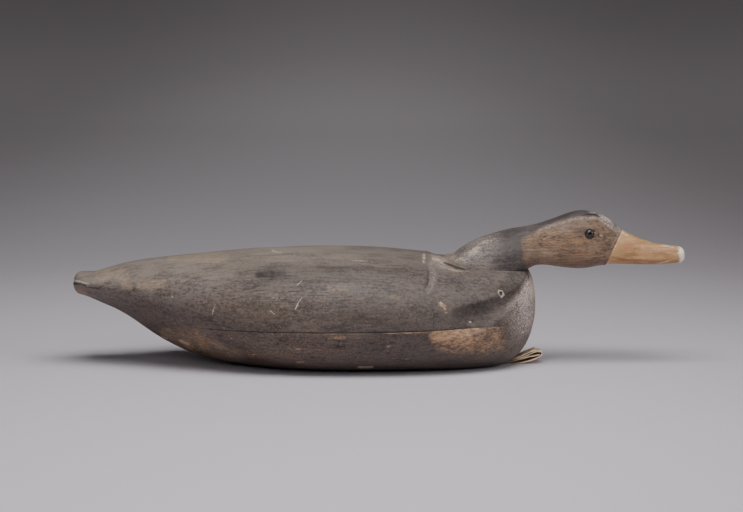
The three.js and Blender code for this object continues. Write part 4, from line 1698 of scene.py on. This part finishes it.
    def section(self, x: np.ndarray, clearance: float = 0) -> Section:
        """The head's section at x, or the hollow that it fits when grown by a clearance."""
        widest = self.widest(x)
        behind = x - (self.neck_back - clearance)
        ahead = self.bill_tip - x
        plan = end_round(behind, self.neck_plan_round, self.plan_fullness)
        plan = plan * end_round(ahead, self.bill_plan_round, self.plan_fullness)
        tip = end_round(behind, self.neck_end_round) * end_round(ahead, self.bill_tip_round)
        return Section(
            (self.half_width(x) + clearance) * plan,
            widest,
            widest + (self.crown(x) + clearance - widest) * tip,
            widest - (widest - self.chin(x) + clearance) * tip,
            self.top_fullness(x),
            self.under_fullness(x),
        )

    def seat(self, x: np.ndarray) -> np.ndarray:
        """Height of the neck's seat at x, and no floor beyond the throat."""
        back = np.maximum(0, (self.seat_level - x) / self.seat_run)
        return np.where(x < self.seat_to, self.seat_height + self.seat_rise * back**self.seat_power, -np.inf)

    def ring_places(self, start: float, end: float, count: int) -> np.ndarray:
        """Where the rings stand, evenly along the surface and closer together at the eye."""
        x = crowded_ends(start, end)
        section = self.section(x)
        lift = np.maximum(np.abs(np.diff(section.top)), np.abs(np.diff(section.half_width)))
        step = np.hypot(np.diff(x), lift)
        crowd = sum(part.strong * hump(x[1:] - part.offset, part.width) for part in self.crowds)
        return spaced(x, step * (1 + crowd), count)

    def relief(self, points: np.ndarray) -> np.ndarray:
        """How far the surface stands out from its plain form at each point."""
        x, y, z = np.moveaxis(points, -1, 0)
        carved, mouth, eye = (
            smoothstep(np.abs(y), *side) for side in (self.carved_side, self.mouth_side, self.eye_side)
        )
        above = z - self.crown_edge(x)
        past_base = x - self.bill_base(z)
        out = sum(ripple(points) for ripple in self.hand) * smoothstep(z, *self.hand_from)
        out += sum(lip.beside(points, above) for lip in self.crown_lips) * carved
        out += self.brow_groove.on_line(points) * carved
        out += self.jowl.beside(points, x - self.neck_edge(z)) * carved
        out += self.bill_ridge.beside(points, past_base) + self.bill_step.beside(points, past_base)
        out += self.mouth_groove.beside(points, z - self.mouth(x)) * mouth
        socket = self.eye_rim.beside(points, self.from_eye(x, z))
        socket += sum(groove.on_line(points) for groove in self.lid_grooves)
        return out + socket * eye + self.cheek_split.on_line(points) * (y < 0)

    def from_eye(self, x: np.ndarray, z: np.ndarray) -> np.ndarray:
        """Distance from the middle of the eye in side view."""
        return np.hypot(x - self.eye[0], z - self.eye[1])

    def eye_middle(self) -> float:
        """How far from the middle plane the cheek lies at the eye."""
        x = np.array([self.eye[0]])
        return float(self.section(x).half_width_at(np.array([self.eye[1]]))[0])

    def form(self, x: np.ndarray, rays: int, clearance: float = 0) -> np.ndarray:
        """The plain form, or the hollow that it fits.

        Args:
            x: The rings.
            rays: How many steps a side gets.
            clearance: How far the form is grown.

        Returns:
            The grid of points.
        """
        loft = Loft(self.widest, lambda x, angle: self.section(x, clearance).reach(angle), near=self.near)
        down = np.full(len(x), -STRAIGHT_UP)
        return loft.grid(x, loft.half(x, down, STRAIGHT_UP, rays), loop=True)

    def build(self) -> bpy.types.Object:
        """Builds the head, neck and bill down to the seat."""
        x = self.ring_places(self.neck_back, self.bill_tip, self.rings)
        grid = self.form(x, self.rays)
        relief = self.relief(grid)
        for end in (x[-1], x[0]):
            relief *= smoothstep(np.abs(x[:, None] - end), 0, self.end_fade)
        moved = grid + outward(grid, loop=True) * relief[..., None]
        moved[..., 2] = np.maximum(moved[..., 2], self.seat(moved[..., 0]))
        return grid_piece("carved_head", moved)

    def pocket(self) -> bpy.types.Object:
        """Builds the tool that cuts the neck's pocket in the body, wider at the open crack."""
        x = self.ring_places(self.neck_back - self.gap, self.pocket_to, self.pocket_rings)
        grid = self.form(x, self.pocket_rays, self.gap)
        crack = self.open_crack.on_line(grid) * (grid[..., 1] < 0)
        grid = grid + outward(grid, loop=True) * crack[..., None]
        grid[..., 2] = np.maximum(grid[..., 2], self.seat(grid[..., 0]) - self.gap)
        return grid_piece("neck_pocket", grid)

    def wear(self, piece: bpy.types.Object) -> None:
        """Stores where the paint changes and where it is worn, and where painted shade and painted highlight
        go.
        """
        spots = places(piece)
        x, y, z = spots.T
        near = smoothstep(y, *NEAR_SIDE)
        side = smoothstep(np.abs(y), *self.painted_side)
        above = z - self.crown_edge(x)
        past_neck = x - self.neck_edge(z)
        past_base = x - self.bill_base(z)
        over_mouth = z - self.mouth(x)
        below_crown = z - self.crown(x)
        frayed = self.fraying(spots)
        # Painted highlight along the crown's edge and on the forehead, partly worn paint
        forehead = self.forehead(spots) * smoothstep(above, *self.forehead_over_edge)
        edge_band = self.crown_band.beside(spots, above, frayed) * side
        forehead_band, forehead_pale = (
            (level + fray * frayed) * forehead for level, fray in (self.forehead_band, self.forehead_pale)
        )
        pale = strongest(
            self.crown_pale * edge_band,
            forehead_pale,
            *(trace.on_line(spots, frayed) for trace in self.pale_all_round),
            self.pale_foot.on_line(spots) * near,
            *(trace.on_line(spots) * side for trace in self.pale_lids),
        )
        lids = np.clip(sum(lid.on_line(spots) for lid in self.dark_lids), 0, 1)
        dark = strongest(
            self.dark_brow.on_line(spots) * side,
            lids * smoothstep(np.abs(y), *self.eye_side),
            NECK_CRACK.on_line(spots) * near,
        )
        shade = strongest(
            self.crown_shade(spots) * smoothstep(above, *self.crown_shade_over_edge),
            self.jaw_shade(spots),
            all_of(self.shades, spots),
            self.socket_shade * smoothstep(self.from_eye(x, z), *self.socket_round) * side,
        )
        seat = self.seat(x)
        foot = z - np.where(np.isinf(seat), 0, seat)
        tip = strongest(
            self.tip_end(spots),
            # painted highlight along the bill's top edge
            self.tip_ridge_highlight(spots) * smoothstep(below_crown, *self.tip_ridge_below_crown),
            self.bill_root.beside(spots, past_base),
            self.root_ridge(spots) * smoothstep(below_crown, *self.root_ridge_below_crown),
            self.lip_pale.beside(spots, over_mouth),
        )
        groove = strongest(
            self.lip_groove.beside(spots, over_mouth) * side,
            self.bill_groove.beside(spots, past_base) * (below_crown < -self.bill_groove_below_crown),
        )
        store(piece, {
            "crown_side": above + self.crown_middle * (1 - side),
            "neck_side": past_neck,
            "bill_side": past_base,
            "pale": pale,
            "dark": dark,
            "bare": self.bare_foot.beside(spots, foot) * near,
            "tip": tip,
            "groove": groove,
            "stain": all_of(self.stains, spots),
            "blush": all_of(self.blush, spots),
            "shade": shade,
            # pale stipple: painted highlight along the crown's edge and forehead, and dust with painted sheen
            # on the nape
            "breast": strongest(edge_band, forehead_band, self.nape_dust_and_sheen.on_line(spots)),
        })


@dataclass
class Eyes:
    """The glass eyes: a domed lens on a collar, a little proud of the cheek."""

    head: Head
    proud: float = 1.3
    thickness: float = 4.4
    steps: int = 64
    smoothing: int = 4
    profile: Pairs = (
        (0, 1), (0.2, 0.985), (0.42, 0.93), (0.62, 0.82), (0.78, 0.64), (0.88, 0.44), (0.92, 0.34),
        (0.96, 0.3),
        (1, 0.18), (1, -0.22), (0.93, -0.5), (0.7, -0.82), (0.4, -0.96), (0, -1),
    )

    def lens(self, side: Side, name: str, clearance: float = 0) -> bpy.types.Object:
        """Turns one lens.

        Args:
            side: Which eye it is.
            name: The piece's name.
            clearance: How far it is grown, for its socket.

        Returns:
            The lens.
        """
        turn = np.linspace(0, 2 * math.pi, self.steps, endpoint=False)
        out, high = np.array(self.profile).T
        smooth_at = np.linspace(0, len(out) - 1, self.smoothing * len(out))
        out = np.interp(smooth_at, np.arange(len(out)), out) * (self.head.eye_radius + clearance)
        high = np.interp(smooth_at, np.arange(len(high)), high) * (self.thickness / 2 + clearance)
        middle = self.head.eye_middle() + self.proud - self.thickness / 2
        x = self.head.eye[0] + out[:, None] * np.cos(turn)
        z = self.head.eye[1] + out[:, None] * np.sin(turn)
        y = side.value * (middle + np.broadcast_to(high[:, None], x.shape))
        return grid_piece(name, np.stack([x, y, z], axis=-1))


# The leather strip


@dataclass(frozen=True)
class Wave:
    """A wave along the strip: how high, how fast over its whole length, and where it starts."""

    height: float
    speed: float
    start: float = 0

    def __call__(self, length: np.ndarray, start: np.ndarray | float = 0) -> np.ndarray:
        """The wave at a share of the strip's length, started further on."""
        return self.height * np.sin(length * self.speed + self.start + start)


@dataclass
class LineTie:
    """One leather strip, folded into an outer and an inner loop under the breast."""

    width: float = 15
    thickness: float = 0.9
    path: Pairs = (
        (129, 7.6), (125.3, 6.75), (120.3, 5.85), (114.5, 4.2), (108.6, 2.7), (104, 1.8), (100, 1.5),
        (96.6, 1.48), (95.6, 1), (96.6, 0.5), (100, 0.5), (106, 0.5), (111, 0.62), (114.5, 0.95),
        (120.3, 2.45), (124, 3.8), (126.9, 5.05), (129.2, 6.3), (130.4, 7.9), (130.4, 9.2), (129.2, 10.1),
        (127.2, 10.3), (124.1, 9.5), (120.3, 7.6), (114.5, 5.35), (108.6, 3.85), (106.6, 3.4),
        (105.7, 3.85), (106.5, 4.5), (109, 5), (113.7, 6.45), (120.3, 9.4), (123.2, 10.5), (125.5, 11.4),
    )
    steps: int = 420
    fine_steps: int = 4000
    across: int = 22
    edge: int = 4
    cut_inset: float = 0.3
    cut_bevel: float = 0.15
    corner_round: float = 0.07
    corner_power: int = 8
    sways: tuple[Wave, ...] = (Wave(0.25, 19), Wave(0.15, 47, 1))
    nibble: Wave = Wave(0.12, 83)
    nibble_twist: float = 2
    rim_inset: Span = (1, 0.5)
    inner_inset: Span = (0.6, 4)
    # Painted shade where the strip runs under the body
    shade_under_body: Zone = Zone(0.7, along=((116, 106),))
    # Grime and painted shade between the folded layers
    fold_dirt_and_shade: float = 0.5
    clean_end: Span = (8, 20)

    def run(self) -> np.ndarray:
        """The middle of the strip, as a smooth even run of (x, z)."""
        corner = np.array(self.path)
        gap = np.sqrt(np.linalg.norm(np.diff(corner, axis=0), axis=1))
        at = np.concatenate([[0], np.cumsum(gap)])
        x_at, z_at = (Curve(tuple(zip(at, corner[:, axis]))) for axis in (0, 1))
        fine = np.linspace(0, at[-1], self.fine_steps)
        place = spaced(fine, np.hypot(np.diff(x_at(fine)), np.diff(z_at(fine))), self.steps)
        return np.stack([x_at(place), z_at(place)], axis=-1)

    def outline(self) -> np.ndarray:
        """The strip's cross-section, as rows of across and through between -1 and 1."""
        across = np.linspace(-1, 1, self.across + 1)
        through = np.linspace(-1, 1, self.edge + 1)
        corners = [(u, 1) for u in across] + [(1, v) for v in through[-2::-1]]
        corners += [(u, -1) for u in across[-2::-1]] + [(-1, v) for v in through[1:-1]]
        return np.array(corners)

    def build(self) -> bpy.types.Object:
        """Builds the strip, a little uneven along its cut edges."""
        line = self.run()
        ahead = np.gradient(line, axis=0)
        ahead /= np.linalg.norm(ahead, axis=1, keepdims=True)
        normal = np.stack([-ahead[:, 1], ahead[:, 0]], axis=-1)
        side, face = self.outline().T
        length = np.linspace(0, 1, len(line))[:, None]
        most = self.width / 2
        half = most - self.cut_inset + self.nibble(length, side * self.nibble_twist)
        y = side * half - side * self.cut_bevel * face**2 + sum(wave(length) for wave in self.sways)
        y = np.clip(y, -most, most)
        off = face * (self.thickness / 2 - self.corner_round * side**self.corner_power)
        x, z = (line[:, [axis]] + normal[:, [axis]] * off for axis in (0, 1))
        grid = np.stack([x, y, z], axis=-1)
        ends = (grid[:1], grid[-1:])
        first, last = (np.broadcast_to(end.mean(axis=1, keepdims=True), end.shape) for end in ends)
        return grid_piece("leather_strip", np.concatenate([first, grid, last]))

    def wear(self, piece: bpy.types.Object) -> None:
        """Stores which parts of the strip are cut edges, and which lie hidden in its folds or under the body,
        for grime and painted shade there.
        """
        spots = places(piece)
        beside = np.abs(spots[:, 1]) - self.width / 2
        rim, inside = (
            smoothstep(beside, -first, -last) for first, last in (self.rim_inset, self.inner_inset)
        )
        from_end = np.linalg.norm(spots[:, [0, 2]] - np.array(self.path[-1]), axis=-1)
        folded = self.fold_dirt_and_shade * inside * smoothstep(from_end, *self.clean_end)
        store(piece, {"rim": rim, "dirty": strongest(self.shade_under_body(spots), folded)})


# The studio


@dataclass
class Lamp:
    """A soft light: where it stands, what it looks at, how wide and how strong it is."""

    name: str
    at: Point
    towards: Point
    size: Span
    watts: float

    def build(self) -> None:
        """Adds the light to the scene."""
        data = bpy.data.lights.new(self.name, "AREA")
        data.shape = "RECTANGLE"
        data.size, data.size_y = self.size
        data.energy = self.watts
        lamp = bpy.data.objects.new(self.name, data)
        lamp.location = self.at
        lamp.visible_camera = False
        aim = Vector(self.towards) - Vector(self.at)
        lamp.rotation_euler = aim.to_track_quat("-Z", "Y").to_euler()
        bpy.context.scene.collection.objects.link(lamp)


@dataclass(frozen=True)
class Paper:
    """The studio's pale paper, with painted shade that greys it to the sides, further back and higher up, and
    a faint painted glow far off.
    """

    CLOUD = Grain((400, 400, 400), 2, 0.5)
    CLOUD_SHARE = 0.05
    WIDE = 1 / 620
    ASKEW = 1 / 1400
    RISING = 0.01
    BACK_SPAN = (100, 900)
    BACK_SHARE = 0.25
    FAR_SPAN = (-0.4, 1.6)
    FAR_SHARE = 0.66
    GLOW_FROM = 700
    GLOW_OVER = 600
    GLOW_SIDE_SPAN = (0, 700)
    GLOW_SIDE_LOSS = 0.35
    GLOW_UP_SPAN = (0, 300)
    GLOW_UP_LOSS = 0.5

    name: str = "studio_paper"
    near: Colour = screen(211, 206, 213)
    # The grey that the painted shade lays on the paper far off
    far: Colour = screen(100, 84, 86)
    glow: Colour = (0.124, 0.116, 0.118)
    rough: float = 0.85
    shine: float = 0.2

    def make(self) -> bpy.types.Material:
        """Builds the whole material."""
        shader = Shader(self.name)
        # Painted shade: the paper greys to the sides, further back and higher up, where the light falls off
        off = shader.x * self.WIDE
        back = shader.step(shader.y, self.BACK_SPAN) * self.BACK_SHARE
        away = off * off + shader.x * self.ASKEW + shader.z * self.RISING + back
        far = shader.step(away, self.FAR_SPAN) * self.FAR_SHARE + shader.noise(self.CLOUD) * self.CLOUD_SHARE
        shader.finish(shader.mix(far, self.near, self.far), self.rough, self.shine)
        # Painted glow: far off the paper gives out a little light of its own
        beyond = shader.math("MAXIMUM", shader.apart(shader.x, shader.y) - self.GLOW_FROM, 0.0)
        glow = 1.0 - shader.math("EXPONENT", beyond * (-1 / self.GLOW_OVER))
        glow = glow * (1.0 - shader.step(abs(shader.x), self.GLOW_SIDE_SPAN) * self.GLOW_SIDE_LOSS)
        glow = glow * (1.0 - shader.step(shader.z, self.GLOW_UP_SPAN) * self.GLOW_UP_LOSS)
        shader.feed(shader.surface.inputs["Emission Color"], shader.mix(glow, (0.0, 0.0, 0.0), self.glow))
        shader.surface.inputs["Emission Strength"].default_value = 1
        return shader.material


@dataclass
class Studio:
    """A pale floor that sweeps up behind, soft lights, and the camera at the photograph's angle."""

    distance: float = 1.815
    elevation: float = math.radians(7)
    target: Point = (-0.006, 0, 0.0864)
    photo_width: int = 743
    pixel: float = 0.0008
    sensor: float = 36
    clip_start: float = 0.01
    floor_from: float = -8
    sweep_from: float = 2.8
    sweep_radius: float = 1.4
    wall_top: float = 6
    sweep_steps: int = 60
    half_width: float = 8
    lamps: tuple[Lamp, ...] = (
        Lamp("soft_top", (0.1, -0.45, 1.2), (0.05, -0.25, 0), (1.1, 0.8), 18),
        Lamp("soft_front", (-0.2, -1.5, 0.8), (0, 0, 0.05), (1.0, 0.7), 4),
        Lamp("soft_right", (1.4, -0.5, 0.6), (0.05, 0, 0.06), (0.7, 0.6), 6),
    )
    haze: Colour = (0.045, 0.045, 0.048)

    def camera(self) -> None:
        """Adds the camera."""
        data = bpy.data.cameras.new("camera")
        data.sensor_width = self.sensor
        data.lens = self.sensor * self.distance / (self.photo_width * self.pixel)
        data.clip_start = self.clip_start
        camera = bpy.data.objects.new("camera", data)
        back = Vector((0, -math.cos(self.elevation), math.sin(self.elevation)))
        camera.location = Vector(self.target) + back * self.distance
        camera.rotation_euler = (-back).to_track_quat("-Z", "Y").to_euler()
        bpy.context.scene.collection.objects.link(camera)
        bpy.context.scene.camera = camera

    def backdrop(self) -> None:
        """Adds the floor and its sweep."""
        turn = np.linspace(0, STRAIGHT_UP, self.sweep_steps)
        y = self.sweep_from + self.sweep_radius * np.sin(turn)
        z = self.sweep_radius * (1 - np.cos(turn))
        side = [(self.floor_from, 0), *zip(y, z), (y[-1], self.wall_top)]
        rows = len(side)
        corners = [(left, *place) for left in (-self.half_width, self.half_width) for place in side]
        faces = [(i, i + rows, i + rows + 1, i + 1) for i in range(rows - 1)]
        mesh = bpy.data.meshes.new("floor")
        mesh.from_pydata(corners, [], faces)
        mesh.shade_smooth()
        mesh.materials.append(Paper().make())
        floor = bpy.data.objects.new("floor", mesh)
        bpy.context.scene.collection.objects.link(floor)

    def build(self) -> None:
        """Sets up the whole studio."""
        self.camera()
        self.backdrop()
        for lamp in self.lamps:
            lamp.build()
        world = bpy.data.worlds.new("haze")
        world.use_nodes = True
        world.node_tree.nodes["Background"].inputs[0].default_value = (*self.haze, 1)
        bpy.context.scene.world = world


UPPER_PAINT = OldPaint(
    "paint_upper",
    dark=screen(64, 56, 53),
    light=screen(132, 119, 112),
    warm=screen(124, 102, 86),
    dust=screen(144, 133, 123),
    warmth=0.3,
    dustiness=0.7,
    flecks=0.25,
    scratches=(
        Mark((-129.5, 48.6), (-128.4, 52.6), 0.4, 1), Mark((-128.4, 52.6), (-127, 55.8), 0.24, 0.8),
        Mark((-64.4, 54.8), (-62.4, 59), 0.36, 1), Mark((-62.4, 59), (-59.5, 63), 0.24, 0.8),
        Mark((-83.8, 52.9), (-80.4, 50.2), 0.26), Mark((-63.5, 71.6), (-60, 74.6), 0.24, 0.6),
        Mark((-245, 68.2), (-238, 68.3), 0.6, 1), Mark((-238, 68.3), (-230, 67), 0.4, 0.8),
        Mark((-85.1, 92.4), (-80, 91.7), 0.22, 0.6), Mark((-80, 91.7), (-76.7, 91.9), 0.15, 0.4),
        Mark((-21.3, 87.8), (-9.5, 87.4), 0.3, 0.4), Mark((-161.6, 60), (-161.2, 60.4), 0.6, 0.75),
        Mark((-136.4, 57), (-136, 57.3), 0.4, 0.7), Mark((-82, 62.5), (-74, 62.3), 0.3, 0.35),
        Mark((47.5, 58.4), (51, 55.4), 0.4, 0.5), Mark((70.2, 41.6), (71.4, 41.2), 0.5, 0.7),
    ),
    cracks=(Mark((-205, 60), (-188, 58.8), 0.3, 0.3), Mark((60, 70), (84, 69.4), 0.3, 0.3)),
)
LOWER_PAINT = OldPaint(
    "paint_lower",
    dark=screen(58, 50, 47),
    light=screen(132, 118, 111),
    warm=screen(128, 102, 84),
    dust=screen(130, 120, 110),
    warmth=0.3,
    dustiness=0,
    flecks=0.3,
    scratches=(
        Mark((-115.4, 28.5), (-115, 28.8), 0.45, 0.7), Mark((-128, 22), (-124, 23.2), 0.25, 0.4),
        Mark((-30, 27), (-29.4, 28.6), 0.25, 0.4), Mark((113.2, 29), (113.6, 29.3), 0.8, 0.9),
        Mark((20, 14), (24, 14.6), 0.25, 0.4), Mark((-64, 10.6), (-58.5, 11.2), 0.3, 0.6),
    ),
)
HEAD_PAINT = HeadPaint(
    "paint_head",
    dark=screen(62, 55, 54),
    light=screen(126, 115, 111),
    warm=screen(124, 108, 97),
    dust=screen(130, 122, 114),
    warmth=0.25,
    dustiness=0.2,
    flecks=0.0,
    scratches=(Mark((118, 93.4), (129.7, 93.5), 0.28, 0.35), Mark((146, 95), (157, 92.6), 0.25, 0.25)),
    cracks=(Mark((143.8, 94.6), (151.7, 92.7), 0.26, 0.7), Mark((151.7, 92.7), (159.6, 91.6), 0.2, 0.6)),
)


def main() -> None:
    """Builds the studio and every piece, in order."""
    logging.basicConfig(level=logging.INFO, format="%(message)s")
    Studio().build()
    head = Head()
    body = Body(head)
    eyes = Eyes(head)
    halves = ((Half.UPPER, head.pocket, UPPER_PAINT), (Half.LOWER, body.notch, LOWER_PAINT))
    for half, tool, finish in halves:
        board = body.build(half)
        carve(board, tool())
        body.dress(board, half, finish)

    carved_head = head.build()
    glass = EyeGlass().make()
    for side, node in ((Side.LEFT, "eye_left"), (Side.RIGHT, "eye_right")):
        carve(carved_head, eyes.lens(side, "socket", clearance=head.gap))
        lens = eyes.lens(side, "glass_" + node)
        smooth(lens)
        settle(lens, node, "eye_glass", glass)
    smooth(carved_head)
    head.wear(carved_head)
    settle(carved_head, "head_and_neck", "painted_head", HEAD_PAINT.make())

    tie = LineTie()
    strip = tie.build()
    smooth(strip)
    tie.wear(strip)
    settle(strip, "leather_line_tie", "leather", DryLeather().make())


if __name__ == "__main__":
    main()
